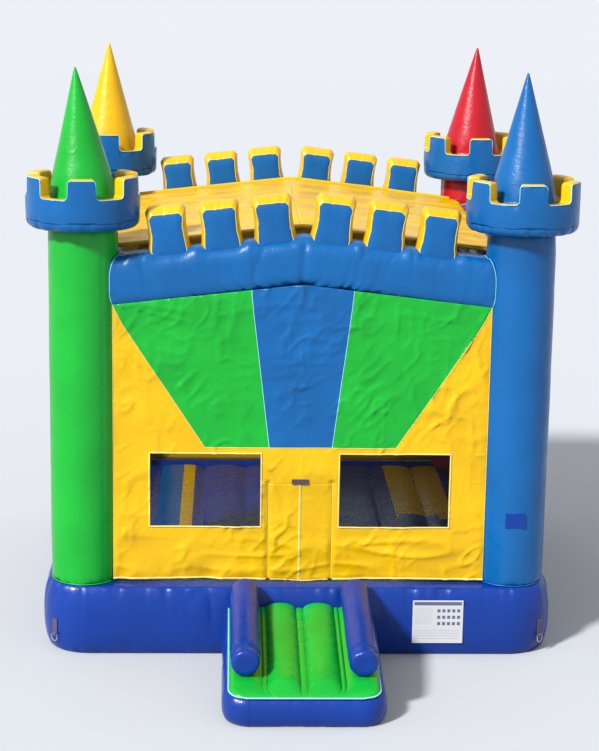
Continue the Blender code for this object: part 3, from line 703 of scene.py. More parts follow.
def make_spire(tower, colour):
    low, high = box("spire_" + tower)
    axis, _ = tower_axis(tower)
    radius = (high.x - low.x) / 2
    height = high.z - low.z
    seed = list(TOWERS).index(tower) * 40 + 700
    lean = SPIRE_LEAN.get(tower, 0.0)
    step = sizes().step
    shares = np.linspace(0, 1, int(height / step))
    body = np.interp(shares * height, [0, 0.04, 0.177, height - 0.035, height],
                     [radius - 0.003, radius - 0.012, radius - 0.043, 0.018, 0.008])
    heights = np.concatenate([[0, 0], low.z * 0 + shares * (height - 0.006), [height]])
    radii = np.concatenate([[0, radius - 0.03], body, [0]])

    def place(angle, row):
        row = row.astype(int)
        z, distance = heights[row], radii[row]
        run = angle * radius
        puckers = gathers(seed, run, z, 0.05, 0.05) * sizes().pucker * 0.7
        side = 0.0025 * bump(np.cos(angle * 2 + 0.9), 1, 0.01)
        distance = np.where((z > 0.002) & (z < height * 0.97), distance - puckers - side, distance)
        shift = lean * (z / height) ** 1.3
        x = axis.x + shift + distance * np.cos(angle)
        return np.stack([x, axis.y + distance * np.sin(angle), low.z + z], axis=-1)

    angles = np.linspace(0, 2 * math.pi, 113)
    mesh = skin("spire_skin_" + tower, angles, np.arange(len(heights)), place)
    spire = new_piece("spire_skin_" + tower, mesh, [MATERIALS[colour]], "house", colour, ["spire_" + tower])


# ---- headers, merlons and roof ----

def merlon_centres(row):
    """Where a row's merlons stand along X."""
    return [(box("merlon_%s_%d" % (row, number))[0].x + box("merlon_%s_%d" % (row, number))[1].x) / 2
            for number in range(1, 7)]


def make_header(side):
    low, high = box("header_" + side)
    gabled = side in ("front", "back")
    across = 1 if gabled else 0
    axis = (low[across] + high[across]) / 2
    outward = 1 if axis > 0 else -1
    depth = (high[across] - low[across]) / 2 - 0.002
    flat_low, flat_high = box("header_left")
    tall = (flat_high.z - flat_low.z) / 2 - 0.002
    centre_z = (flat_high.z + flat_low.z) / 2
    _, tower_radius = tower_axis("front_left")
    tower_x = abs(tower_axis("front_left")[0].x)
    step = sizes().step
    seed = 900 + 30 * ["front", "back", "left", "right"].index(side)
    reach = 1.46
    seams = np.array(merlon_centres("front")) if gabled else np.array([])

    def place(share, angle):
        cosine, sine = np.cos(angle), np.sin(angle)
        power = np.where(sine > 0, 2 / 3.0, 2 / 4.4)
        out = np.sign(cosine) * np.abs(cosine) ** power
        up = np.sign(sine) * np.abs(sine) ** power
        end = tower_x - np.sqrt(np.clip(tower_radius ** 2 - (depth * out) ** 2, 0, None)) - HAIR
        x = share * end
        from_end = end - np.abs(x)
        front = np.clip(out, 0, 1)
        girth = angle * 0.26
        relief = 0.003 * smooth_noise(seed, x / 0.22, girth / 0.15)
        relief -= gathers(seed + 2, girth, from_end, 0.05, 0.05) * sizes().pucker * 0.6
        if gabled:
            upper = bump(angle, 0.95, 0.42)
            nearest = np.abs(x[:, None] - seams[None, :]).min(axis=1)
            between = np.clip((nearest - 0.10) / 0.10, 0, 1)
            relief += upper * (0.026 * between - 0.010)
            top_run = np.clip(0.95 - angle, 0, None) * 0.26
            relief -= gathers(seed + 4, x, top_run, 0.045, 0.12) * 0.020 * between * front
            slant = x - np.sign(x) * 0.10 * (angle + 0.9)
            middle = bump(x, 0.06, 0.42)
            low_half = bump(angle, -0.75, 0.55)
            fold = creases(seed + 6, girth / 0.30, slant / 0.060)
            relief -= fold * 0.034 * middle * (0.35 + 0.9 * low_half) * front
            from_seam = np.abs(angle + 0.95) * 0.2
            relief -= gathers(seed + 8, slant, from_seam, 0.045, 0.10) * 0.022 * middle * front
            relief -= 0.010 * bump(x, 0, 0.03) * front
            relief -= creases(seed + 12, girth / 0.35, slant / 0.11) * 0.012 * front
        else:
            relief -= creases(seed + 6, girth / 0.30, x / 0.10) * 0.006
        along = x
        sideways = axis + outward * (depth * out + relief * out)
        z = centre_z + tall * up + relief * up + (gable_rise(x) if gabled else 0)
        if gabled:
            return np.stack([along, sideways, z], axis=-1)
        return np.stack([sideways, along, z], axis=-1)

    shares = np.linspace(-1, 1, int(2 * reach / step))
    angles = np.linspace(-math.pi, math.pi, int(1.36 / step))
    mesh = skin("header_skin_" + side, shares, angles, place)
    close_ends(mesh)
    header = new_piece(mesh.name, mesh, [MATERIALS["sky_blue"]], "house", "sky_blue", ["header_" + side])

    girth = np.linspace(-math.pi, math.pi, 73)[:-1]
    rings = [place(np.full(len(girth), 0.992 * end), girth) for end in (-1, 1)]
    piping("header_end_seams_" + side, rings, 0.0025, MATERIALS["pale_seam"], "sky_blue", closed=True)


def close_ends(mesh):
    """Caps the open ends of a tube."""
    bm = bmesh.new()
    bm.from_mesh(mesh)
    rim = [edge for edge in bm.edges if edge.is_boundary]
    bmesh.ops.holes_fill(bm, edges=rim, sides=0)
    bmesh.ops.triangulate(bm, faces=[face for face in bm.faces if len(face.verts) > 4])
    bmesh.ops.recalc_face_normals(bm, faces=bm.faces)
    bm.to_mesh(mesh)
    bm.free()


MERLON_FACE_WIDTH = 0.262
MERLON_FACE_HEIGHT = 0.262
MERLON_FOOT = 0.09


def merlon_mesh(name, depth, seed, matrix):
    """One padded merlon: flat pinched faces front and back, and a domed body between them."""
    half_w = MERLON_FACE_WIDTH / 2
    half_d = depth / 2
    corner = 0.030
    stops = [0, 0.30, 0.34, 0.58, 0.62, 0.92, 1.0]
    across = np.concatenate([[-3, -2.5, -2.2], np.linspace(-1, 1, 27), [2.2, 2.5, 3]])
    girth = np.linspace(0, 1, 90)

    def face_edge(share):
        """Points round a face: up its left side, over the top, down the right side and back under."""
        top, bottom = MERLON_FACE_HEIGHT, -MERLON_FOOT
        inner = half_w - corner
        x = np.interp(share, stops, [-half_w, -half_w, -inner, inner, half_w, half_w, -half_w])
        z = np.interp(share, stops, [bottom, top - corner, top, top, top - corner, bottom, bottom])
        return x * (1 - 0.09 * np.sin(np.clip(z / top, 0, 1) * math.pi)), z

    def place(share, cut):
        edge = np.clip(cut, -1, 1)
        dome = np.sqrt(np.clip(1 - edge ** 2, 0, 1))
        past = np.clip(np.abs(cut) - 1, 0, None)
        rim = 0.35 + 0.65 * np.clip((1 - np.abs(edge)) / 0.2, 0, 1)
        drawn = gathers(seed, share * 0.95, (1 - np.abs(edge)) * half_d, 0.030, 0.045) * 0.012 * rim
        x, z = face_edge(share)
        x = x * (1 + (0.028 * dome - drawn) / half_w)
        z = np.where(z > 0, z + (0.055 * dome - drawn) * z / MERLON_FACE_HEIGHT, z)
        shrink = np.interp(past, [0, 1.2, 1.5, 2.0], [1.0, 0.86, 0.5, 0.0])
        swell = np.interp(past, [0, 1.2, 1.5, 2.0], [0, 0.008, 0.013, 0.014])
        middle = (MERLON_FACE_HEIGHT - MERLON_FOOT) / 2
        y = edge * (half_d - 0.014) + np.sign(cut) * swell
        return np.stack([x * shrink, y, middle + (z - middle) * shrink], axis=-1)

    def paint(share, cut):
        return (np.abs(cut) > 1).astype(int)

    mesh = skin(name, girth, across, place, paint)
    mesh.transform(matrix)
    shown = girth[girth < 0.92]
    rims = []
    for face in (-1.0, 1.0):
        rims.append([matrix @ Vector(point) for point in place(shown, np.full(len(shown), face))])
    return mesh, rims


def make_merlons(row):
    header_low, header_high = box("header_" + row)
    y = (header_low.y + header_high.y) / 2
    top = box("header_left")[1].z
    half_span = box("front_wall")[1].x
    rise = header_high.z - top
    for number, x in enumerate(merlon_centres(row), start=1):
        name = "merlon_%s_%d" % (row, number)
        low, high = box(name)
        slope = math.copysign(math.atan2(rise, half_span), x)
        place = Matrix.Translation((x, y, top + float(gable_rise(x)))) @ Matrix.Rotation(slope, 4, "Y")
        mesh, rims = merlon_mesh("merlon_pad_%s_%d" % (row, number), high.y - low.y, 1100 + number * 7, place)
        vinyls = [MATERIALS["yellow"], MATERIALS["sky_blue"]]
        pad = new_piece(mesh.name, mesh, vinyls, "house", "sky_blue", [name])
        piping("merlon_piping_%s_%d" % (row, number), rims, 0.003, MATERIALS["cream_seam"], "yellow")


def flat_sheet(name, low, high, step, place_point, cuts=(), keep=None, paint=None):
    """A sheet cut flat in two axes. Returns its mesh and its flat area."""
    bm = bmesh.new()
    width, length = high[0] - low[0], high[1] - low[1]
    columns, rows = max(1, round(width / step)), max(1, round(length / step))
    bmesh.ops.create_grid(bm, x_segments=columns, y_segments=rows, size=0.5)
    for vert in bm.verts:
        vert.co = ((vert.co.x + 0.5) * width + low[0], (vert.co.y + 0.5) * length + low[1], 0)
    for point, normal in cuts:
        geometry = bm.verts[:] + bm.edges[:] + bm.faces[:]
        bmesh.ops.bisect_plane(bm, geom=geometry, dist=0.0004, plane_co=(*point, 0), plane_no=(*normal, 0))
    if keep:
        doomed = [face for face in bm.faces if not keep(*face.calc_center_median().xy)]
        bmesh.ops.delete(bm, geom=doomed, context="FACES")
    area = sum(face.calc_area() for face in bm.faces)
    mesh = bpy.data.meshes.new(name)
    bm.to_mesh(mesh)
    bm.free()
    points = read_points(mesh)
    write_points(mesh, place_point(points[:, 0], points[:, 1]))
    for polygon in mesh.polygons:
        polygon.use_smooth = True
    return mesh, area


def thicken(piece, thickness):
    """Gives a sheet its thickness, half on each side."""
    modifier = piece.modifiers.new("thickness", "SOLIDIFY")
    modifier.thickness = thickness
    modifier.offset = 0


def roof_point(x, y):
    """A point of the roof cover, slack between the headers and folded along its hems."""
    high = box("roof_right")[1]
    top = box("header_left")[1].z
    stretch = np.clip(1 - (y / high.y) ** 2, 0, 1) * np.clip(1 - (np.abs(x) / high.x) ** 2, 0, 1)
    edge = np.clip((high.y - np.abs(y)) / 0.25, 0, 1)
    relief = creases(61, x / 0.55, y / 0.085) * 0.018
    relief += creases(64, x / 0.30, y / 0.16) * 0.014
    relief += 0.012 * smooth_noise(67, x / 0.6, y / 0.13)
    right = bump(x, 0.35, 0.30)
    relief += right * creases(70, (x + y) / 0.5, (y - x) / 0.20) * 0.022
    z = top + 0.030 + gable_rise(x) - 0.035 * stretch + relief * (0.35 + 0.65 * edge) - 0.006
    return np.stack([x, y, z], axis=-1)


def make_roof():
    for side in ("left", "right"):
        low, high = box("roof_" + side)
        mesh, _ = flat_sheet("roof_sheet_" + side, (low.x, low.y), (high.x, high.y), 0.020, roof_point)
        sheet = new_piece(mesh.name, mesh, [MATERIALS["yellow"]], "house", "yellow", ["roof_" + side])
        thicken(sheet, sizes().sheet)
    low, high = box("roof_right")
    x = np.linspace(-high.x + 0.04, high.x - 0.04, 150)
    rolls = []
    for y in (low.y + 0.012, high.y - 0.012):
        along = np.full(len(x), y)
        rolls.append(np.stack([x, along, roof_point(x, along)[:, 2] + 0.004], axis=-1))
    piping("roof_hem_rolls", rolls, 0.016, MATERIALS["yellow"], "yellow")
    y = np.linspace(low.y, high.y, 120)
    ridge = roof_point(np.zeros(len(y)), y)
    piping("roof_ridge_seam", [ridge], 0.004, MATERIALS["cream_seam"], "yellow")


# ---- front wall ----

DOOR_HALF = 0.245
DOOR_TOP = 1.33
FAN_FOOT_Z = 1.615
FAN_FOOT_HALF = 0.73
FAN_MIDDLE_FOOT = 0.24
FAN_MIDDLE_HEAD = 0.385


def front_relief(x, z):
    """How far the front wall's sheet stands out towards the visitor."""
    low, high = box("front_wall")
    depth = sizes().fold
    billow = 0.012 * np.clip(1 - (x / high.x) ** 2, 0, 1) * np.clip((z - low.z) / 0.4, 0, 1)
    band = bump(z, 0.76, 0.20)
    folds = creases(201, x / 0.62, z / 0.10) * band * 1.3
    small = creases(204, x / 0.15, z / 0.10) * 0.62 + creases(205, x / 0.09, z / 0.11) * 0.35
    slant = creases(207, (x + z) / 0.26, (z - x) / 0.10) * 0.60
    left_corner = np.hypot(x + high.x, z - high.z)
    right_corner = np.hypot(x - high.x, z - high.z)
    fan_left = creases(210, left_corner / 0.5, np.arctan2(z - high.z, x + high.x) / 0.11)
    fan_right = creases(213, right_corner / 0.5, np.arctan2(z - high.z, x - high.x) / 0.11)
    rays = fan_left * bump(left_corner, 0.20, 0.30) + fan_right * bump(right_corner, 0.20, 0.30)
    head = creases(216, x / 0.55, (z - gable_rise(x)) / 0.085)
    head = head * bump(z, 2.50, 0.34) * bump(x, 0.15, 0.75) * 1.3
    upright = creases(219, z / 0.50, x / 0.09) * (np.clip((np.abs(x) - 0.95) / 0.3, 0, 1)) * 0.5
    foot = gathers(222, x, z - low.z, 0.11, 0.10) * 0.5
    soft = 0.35 * smooth_noise(225, x / 0.34, z / 0.22)
    total = billow + depth * (folds + small + slant + rays + 0.9 * head + upright - foot + soft)
    hinge = bump(np.abs(x), DOOR_HALF, 0.02) * (z < DOOR_TOP + 0.02)
    sewn = np.clip((high.x - np.abs(x)) / 0.05, 0, 1) * (1 - hinge)
    return total * sewn


def front_point(x, z):
    """A point of the front wall's sheet, with its hem a little wavy."""
    low, high = box("front_wall")
    y = -WALL_PLACE - front_relief(x, z)
    hem = np.clip(1 - (z - low.z) / 0.16, 0, 1)
    drop = hem * (0.012 * bump(x, 0.0, 0.11) - 0.010 * bump(x, -0.75, 0.35) - 0.008 * bump(x, 0.75, 0.3))
    tuck = TUCK * np.clip(1 - (high.z + gable_rise(x) - z) / TUCK_BAND, 0, 1)
    return np.stack([x, y, z - drop + tuck], axis=-1)


def front_cuts():
    """The straight lines on which the wall's colours and openings meet."""
    high = box("front_wall")[1]
    net_low, net_high = box("window_net_right")
    cuts = [((0, z), (0, 1)) for z in (FAN_FOOT_Z, net_low.z, net_high.z, DOOR_TOP)]
    cuts += [((side * x, 0), (1, 0)) for side in (-1, 1) for x in (net_low.x, net_high.x, DOOR_HALF)]
    cuts += [((0, 0), (1, 0))]
    for side in (-1, 1):
        for foot, head in (((FAN_FOOT_HALF, FAN_FOOT_Z), (high.x, high.z)),
                           ((FAN_MIDDLE_FOOT, FAN_FOOT_Z), (FAN_MIDDLE_HEAD, fan_head(FAN_MIDDLE_HEAD))),
                           ((high.x, high.z), (0, fan_head(0)))):
            run = Vector((side * (head[0] - foot[0]), head[1] - foot[1]))
            cuts.append(((side * foot[0], foot[1]), (-run.y, run.x)))
    return cuts


def fan_head(x):
    """Height of the wall's top edge at x."""
    high = box("front_wall")[1]
    rise = box("header_front")[1].z - box("header_left")[1].z
    return high.z + rise * (1 - abs(x) / high.x)


def outside(x, z, foot, head):
    """Whether a point is further from the middle than the line from foot to head."""
    return abs(x) > foot[0] + (head[0] - foot[0]) * (z - foot[1]) / (head[1] - foot[1])


def wall_region(x, z):
    """The name of the piece of vinyl at a point of the front wall, or nothing in an opening."""
    high = box("front_wall")[1]
    net_low, net_high = box("window_net_right")
    if z > fan_head(x):
        return None
    if z > FAN_FOOT_Z:
        if outside(x, z, (FAN_FOOT_HALF, FAN_FOOT_Z), (high.x, high.z)):
            return "wall"
        if outside(x, z, (FAN_MIDDLE_FOOT, FAN_FOOT_Z), (FAN_MIDDLE_HEAD, fan_head(FAN_MIDDLE_HEAD))):
            return "fan_left" if x < 0 else "fan_right"
        return "fan_middle"
    if net_low.x < abs(x) < net_high.x and net_low.z < z < net_high.z:
        return None
    if abs(x) < DOOR_HALF and z < DOOR_TOP:
        return "flap_left" if x < 0 else "flap_right"
    return "wall"


def make_front_wall():
    low, high = box("front_wall")
    pieces = {
        "wall": ("front_wall_sheet", "yellow", "house", ["front_wall"]),
        "fan_left": ("fan_sheet_left", "green", "house", ["fan_panel_left"]),
        "fan_middle": ("fan_sheet_middle", "sky_blue", "house", ["fan_panel_middle"]),
        "fan_right": ("fan_sheet_right", "green", "house", ["fan_panel_right"]),
        "flap_left": ("entrance_flap_left", "yellow", "door_left", ["door_flap_left"]),
        "flap_right": ("entrance_flap_right", "yellow", "door_right", ["door_flap_right"]),
    }
    top = fan_head(0)
    for region, (name, slot, body, stands_for) in pieces.items():
        mesh, area = flat_sheet(name, (low.x, low.z), (high.x, top), 0.0145, front_point, front_cuts(),
                                lambda x, z: wall_region(x, z) == region)
        sheet = new_piece(name, mesh, [MATERIALS[slot]], body, slot, stands_for)
        thicken(sheet, sizes().sheet)
        points = read_points(mesh)
    make_front_seams()


def line_path(start, stop, count=90):
    """Evenly spaced points of a line, as one array for each axis."""
    return np.linspace(start[0], stop[0], count), np.linspace(start[1], stop[1], count)


def make_front_seams():
    low, high = box("front_wall")
    net_low, net_high = box("window_net_right")

    def on_wall(lines, lift=0.001):
        paths = []
        for start, stop in lines:
            path = front_point(*line_path(start, stop))
            path[:, 1] -= lift
            paths.append(path)
        return paths

    pale, cream = [], []
    for side in (-1, 1):
        cream.append(((side * FAN_FOOT_HALF, FAN_FOOT_Z), (side * high.x, high.z)))
        head = (side * FAN_MIDDLE_HEAD, fan_head(FAN_MIDDLE_HEAD))
        pale.append(((side * FAN_MIDDLE_FOOT, FAN_FOOT_Z), head))
        edge = side * (high.x - 0.004)
        cream.append(((edge, low.z), (edge, high.z)))
    cream.append(((-FAN_FOOT_HALF, FAN_FOOT_Z), (FAN_FOOT_HALF, FAN_FOOT_Z)))
    start = DOOR_HALF + 0.014
    hem = [((-high.x, low.z), (-start, low.z)), ((start, low.z), (high.x, low.z))]
    piping("fan_seams", on_wall(pale), 0.003, MATERIALS["pale_seam"], "sky_blue")
    piping("wall_seams", on_wall(cream), 0.003, MATERIALS["cream_seam"], "yellow")
    piping("wall_hem", on_wall(hem), 0.009, MATERIALS["cream_seam"], "yellow")
    frames = []
    for side in (-1, 1):
        near, far = side * net_low.x, side * net_high.x
        corners = [(near, net_low.z), (far, net_low.z), (far, net_high.z), (near, net_high.z)]
        frames += [(corners[i], corners[(i + 1) % 4]) for i in range(4)]
    piping("window_binding", on_wall(frames), 0.007, MATERIALS["cream_seam"], "yellow")
    for side, name, body in ((-1, "left", "door_left"), (1, "right", "door_right")):
        edge = [((side * 0.004, low.z), (side * 0.004, DOOR_TOP - 0.004))]
        foot = [((side * 0.004, low.z), (side * (DOOR_HALF - 0.022), low.z))]
        piping("flap_binding_" + name, on_wall(edge + foot), 0.0048, MATERIALS["cream_seam"], "yellow", body)
    beside = DOOR_HALF + 0.006
    stitch = [((side * beside, low.z), (side * beside, DOOR_TOP + 0.03)) for side in (-1, 1)]
    piping("flap_stitching", on_wall(stitch, 0.0005), 0.0016, MATERIALS["cream_seam"], "yellow")


def make_entrance_bar():
    low, high = box("door_strap")
    bm = bmesh.new()
    bmesh.ops.create_cube(bm, size=1.0)
    upright = [edge for edge in bm.edges if abs(edge.verts[0].co.y - edge.verts[1].co.y) > 0.5]
    centre = (low + high) / 2
    for vert in bm.verts:
        vert.co = Vector((vert.co.x * (high.x - low.x), vert.co.y * 0.004, vert.co.z * (high.z - low.z)))
    bmesh.ops.bevel(bm, geom=upright, offset=0.006, segments=3, profile=0.5, affect="EDGES", material=-1)
    out = float(front_relief(np.array([0.0]), np.array([centre.z]))[0])
    bmesh.ops.translate(bm, vec=(centre.x, -WALL_PLACE - out - 0.006, centre.z), verts=bm.verts)
    mesh = bpy.data.meshes.new("entrance_bar")
    bm.to_mesh(mesh)
    bm.free()
    new_piece("entrance_bar", mesh, [MATERIALS["webbing"]], "house", "webbing", ["door_strap"])


# ---- netting ----

def net_mesh(name, low, high, cell, inside, to_space):
    """A net of square cells hung on their corners, cut to the opening and given its cord's thickness."""
    bm = bmesh.new()
    width, length = high[0] - low[0], high[1] - low[1]
    span = (width + length) / math.sqrt(2) / 2 + cell
    count = int(2 * span / cell)
    bmesh.ops.create_grid(bm, x_segments=count, y_segments=count, size=span)
    middle = ((low[0] + high[0]) / 2, (low[1] + high[1]) / 2)
    turn = Matrix.Translation((*middle, 0)) @ Matrix.Rotation(math.pi / 4, 4, "Z")
    bmesh.ops.transform(bm, matrix=turn, verts=bm.verts)
    for point, normal in inside:
        geometry = bm.verts[:] + bm.edges[:] + bm.faces[:]
        bmesh.ops.bisect_plane(bm, geom=geometry, dist=0.0005, plane_co=(*point, 0), plane_no=(*normal, 0),
                               clear_outer=True)
    bmesh.ops.remove_doubles(bm, verts=bm.verts, dist=0.003)
    bmesh.ops.recalc_face_normals(bm, faces=bm.faces)
    bmesh.ops.wireframe(bm, faces=bm.faces, thickness=sizes().net_cord, offset=0, use_replace=True,
                        use_boundary=True, use_even_offset=False)
    mesh = bpy.data.meshes.new(name)
    bm.to_mesh(mesh)
    bm.free()
    points = read_points(mesh)
    write_points(mesh, to_space(points))
    return mesh


def box_edges(low, high):
    """A rectangle's four edges as cuts, each a point and the direction outwards."""
    return [((low[0], 0), (-1, 0)), ((high[0], 0), (1, 0)), ((0, low[1]), (0, -1)), ((0, high[1]), (0, 1))]


def make_window_nets():
    for side in ("left", "right"):
        low, high = box("window_net_" + side)

        def to_space(points):
            flat = front_point(points[:, 0], points[:, 1])
            flat[:, 1] += 0.004 + points[:, 2]
            return flat

        mesh = net_mesh("window_netting_" + side, (low.x, low.z), (high.x, high.z), sizes().net_cell * 0.5,
                        box_edges((low.x, low.z), (high.x, high.z)), to_space)
        new_piece(mesh.name, mesh, [MATERIALS["net"]], "house", "net", ["window_net_" + side])


def make_wall_nets():
    """Side and back walls: a vinyl border round a net."""
    foot, border = 0.42, 0.16
    walls = {
        "side_wall_left": (0, -WALL_PLACE),
        "side_wall_right": (0, WALL_PLACE),
        "back_wall": (1, WALL_PLACE),
    }
    for name, (axis, place) in walls.items():
        low, high = box(name)
        run_low, run_high = (low.y, high.y) if axis == 0 else (low.x, high.x)
        eave = box("side_wall_left")[1].z
        net_low = (run_low + border, low.z + foot)
        net_high = (run_high - border, eave - border)

        def stand(points_run, points_z, off):
            if axis == 0:
                return np.stack([np.full(len(points_run), place) + off, points_run, points_z], axis=-1)
            return np.stack([points_run, np.full(len(points_run), place) + off, points_z], axis=-1)

        def to_space(points):
            return stand(points[:, 0], points[:, 1], points[:, 2])

        def sheet_point(run, z):
            outward = math.copysign(1, place)
            slack = creases(300, run / 0.4, z / 0.12) * 0.008 + 0.004 * smooth_noise(303, run / 0.3, z / 0.25)
            near = np.minimum(np.minimum(z - low.z, eave - z), np.minimum(run - run_low, run_high - run))
            top = eave + (gable_rise(run) if axis == 1 else 0)
            tuck = TUCK * np.clip(1 - (top - z) / TUCK_BAND, 0, 1)
            return stand(run, z + tuck, outward * slack * np.clip(near / 0.05, 0, 1))

        def keep(run, z):
            if axis == 1 and z > fan_head(run):
                return False
            return not (net_low[0] < run < net_high[0] and net_low[1] < z < net_high[1])

        cuts = box_edges(net_low, net_high)
        if axis == 1:
            rise = fan_head(0) - eave
            cuts += [((side * run_high, eave), (side * rise, run_high)) for side in (-1, 1)]
        mesh, area = flat_sheet(
            name + "_border", (run_low, low.z), (run_high, high.z), 0.03, sheet_point, cuts, keep)
        border_piece = new_piece(mesh.name, mesh, [MATERIALS["yellow"]], "house", "yellow")
        thicken(border_piece, sizes().sheet)
        mesh = net_mesh(
            name + "_net", net_low, net_high, sizes().net_cell * 1.2, box_edges(net_low, net_high), to_space)
        new_piece(mesh.name, mesh, [MATERIALS["net"]], "house", "net", [name])
        corners = [net_low, (net_high[0], net_low[1]), net_high, (net_low[0], net_high[1])]
        paths = []
        for i in range(4):
            run, z = line_path(corners[i], corners[(i + 1) % 4], 40)
            paths.append(stand(run, z, 0.0))
        piping(name + "_binding", paths, 0.008, MATERIALS["cream_seam"], "yellow")


# ---- step ----

# Thickness of the step's bed, and the height of its top where it meets the base.
BED_THICKNESS = 0.05
BED_BACK_HEIGHT = 0.43


def step_top(y):
    """Height of the step's bed over the ground at y."""
    low = box("step_bed")[0]
    front = low.z + BED_THICKNESS - 0.0003
    front_y = box("step_body")[0].y
    back_y = box("base_bed")[0].y
    return front + (BED_BACK_HEIGHT - front) * (y - front_y) / (back_y - front_y)


def clear_of_base(y, z):
    """Keeps a point of the step in front of the base's bulging side."""
    height = box("base_bed")[1].z
    face = box("base_bed")[0].y + base_side_inset(z, height)
    return np.minimum(y, face - 0.001)


def make_step_body():
    low, high = box("step_body")
    half_x = high.x
    front, rear = low.y, high.y + 0.10
    half_y = (rear - front) / 2
    middle = (rear + front) / 2
    corner, bulge = 0.19, 0.05
    side_rows = np.linspace(math.pi / 2, -math.pi / 2, 30)
    shares = (1 + np.sin(side_rows)) / 2
    profile = [(bulge, 1.0, 1.0), (bulge, 1.0, 0.5), (bulge + 0.02, 1.0, 0.0)]
    profile += [(bulge * (1 - math.sqrt(max(0, 1 - abs(2 * s - 1) ** 2.3))), s, 0) for s in shares]
    profile += [(bulge + 0.02, 0.0, 0.0), (bulge, 0.0, 0.5), (bulge, 0.0, 1.0)]
    insets, shares, closing = np.array(profile).T
    around = outline_length(half_x, half_y, corner)

    def place(run, row):
        row = row.astype(int)
        inset, share = insets[row], shares[row]
        side = (closing[row] == 0) & (inset < bulge)
        relief = -gathers(401, run, (1 - share) * 0.25, 0.05, 0.05) * 0.005
        relief -= gathers(403, run, share * 0.25, 0.05, 0.05) * 0.006
        relief += 0.004 * smooth_noise(405, run / 0.25, share * 1.5)
        relief -= creases(407, share * 0.8, run / 0.12) * 0.004
        stands_in = np.maximum(inset - np.where(side, relief, 0), 0)
        x, y, _ = outline_points(run, half_x, half_y, corner, stands_in)
        keep = 1 - closing[row]
        x, y = x * keep, middle + y * keep
        z = share * (step_top(np.minimum(y, -1.96)) - 0.052)
        return np.stack([x, clear_of_base(y, z), z], axis=-1)

    runs = np.linspace(0, around, int(around / 0.014))
    mesh = skin("step_block_skin", runs, np.arange(len(profile)), place)
    piece = new_piece(mesh.name, mesh, [MATERIALS["royal_blue"]], "house", "royal_blue", ["step_body"])


def make_step_bed():
    low, high = box("step_bed")
    half_x = high.x - 0.004
    front, rear = low.y, box("base_bed")[0].y - 0.004
    corner = 0.13
    seams = (0.028, 0.262, 0.298)
    columns = np.unique(np.round(np.concatenate(
        [np.linspace(-1, 1, 120)] + [side * (seam / half_x + np.array([-0.012, 0, 0.012]))
                                     for seam in seams for side in (-1, 1)]), 4))
    rows = np.concatenate([np.linspace(0, 1, 100)])

    def outline_at(share_x, share_y):
        y = front + share_y * (rear - front)
        x = share_x * half_x
        into = np.clip((front + corner - y) / corner, 0, 1)
        narrow = corner * (1 - np.sqrt(1 - into ** 2))
        return x * (half_x - narrow) / half_x, y

    def place(share_x, share_y):
        x, y = outline_at(share_x, share_y)
        flat = np.abs(share_x) * half_x
        edges = np.array([0.0, *seams, half_x])
        index = np.clip(np.searchsorted(edges, flat, side="right") - 1, 0, len(edges) - 2)
        start, stop = edges[index], edges[index + 1]
        start = np.where(index == 0, -edges[1], start)
        share = (flat - start) / (stop - start) * 2 - 1
        dome = np.sqrt(np.clip(1 - share ** 2, 0, 1))
        tall = np.select([index == 0, index == 1, index == 2], [0.012, 0.052, 0.014], 0.030)
        front_roll = np.clip((y - front) / 0.07, 0, 1)
        front_roll = np.sqrt(np.clip(1 - (1 - front_roll) ** 2, 0, 1))
        back_roll = np.sqrt(np.clip(1 - (1 - np.clip((rear - y) / 0.05, 0, 1)) ** 2, 0, 1))
        side_roll = np.clip((1 - np.abs(share_x)) * half_x / 0.035, 0, 1)
        side_roll = np.sqrt(np.clip(1 - (1 - side_roll) ** 2, 0, 1))
        puff = tall * dome * np.clip((y - front) / 0.16, 0.25, 1)
        wrinkle = gathers(420, y, np.minimum(np.abs(flat - 0.262), np.abs(flat - 0.028)), 0.05, 0.05) * 0.006
        wrinkle = wrinkle * (index <= 1)
        height = (BED_THICKNESS - 0.026 + puff - wrinkle) * front_roll * back_roll * side_roll
        return np.stack([x, y, step_top(y) - BED_THICKNESS + np.maximum(height, 0.001)], axis=-1)

    mesh = skin("step_bed_pad", columns, rows, place)
    bm = bmesh.new()
    bm.from_mesh(mesh)
    rim = [edge for edge in bm.edges if edge.is_boundary]
    made = bmesh.ops.extrude_edge_only(bm, edges=rim)["geom"]
    lower = [item for item in made if isinstance(item, bmesh.types.BMVert)]
    bmesh.ops.translate(bm, vec=(0, 0, -0.0006), verts=lower)
    bmesh.ops.holes_fill(bm, edges=[edge for edge in bm.edges if edge.is_boundary], sides=0)
    bmesh.ops.triangulate(bm, faces=[face for face in bm.faces if len(face.verts) > 4])
    bmesh.ops.recalc_face_normals(bm, faces=bm.faces)
    bm.to_mesh(mesh)
    bm.free()
    bed = new_piece(mesh.name, mesh, [MATERIALS["green"]], "house", "green", ["step_bed"])
    share = np.linspace(0, 1, 60)
    left = outline_at(np.full(60, -1.0), share[::-1])
    head = outline_at(np.linspace(-1, 1, 80), np.zeros(80))
    right = outline_at(np.full(60, 1.0), share)
    x = np.concatenate([left[0], head[0], right[0]])
    y = np.concatenate([left[1], head[1], right[1]])
    path = np.stack([x, y, step_top(y) - BED_THICKNESS + 0.006], axis=-1)
    piping("step_bed_piping", [path], 0.006, MATERIALS["pale_seam"], "green")


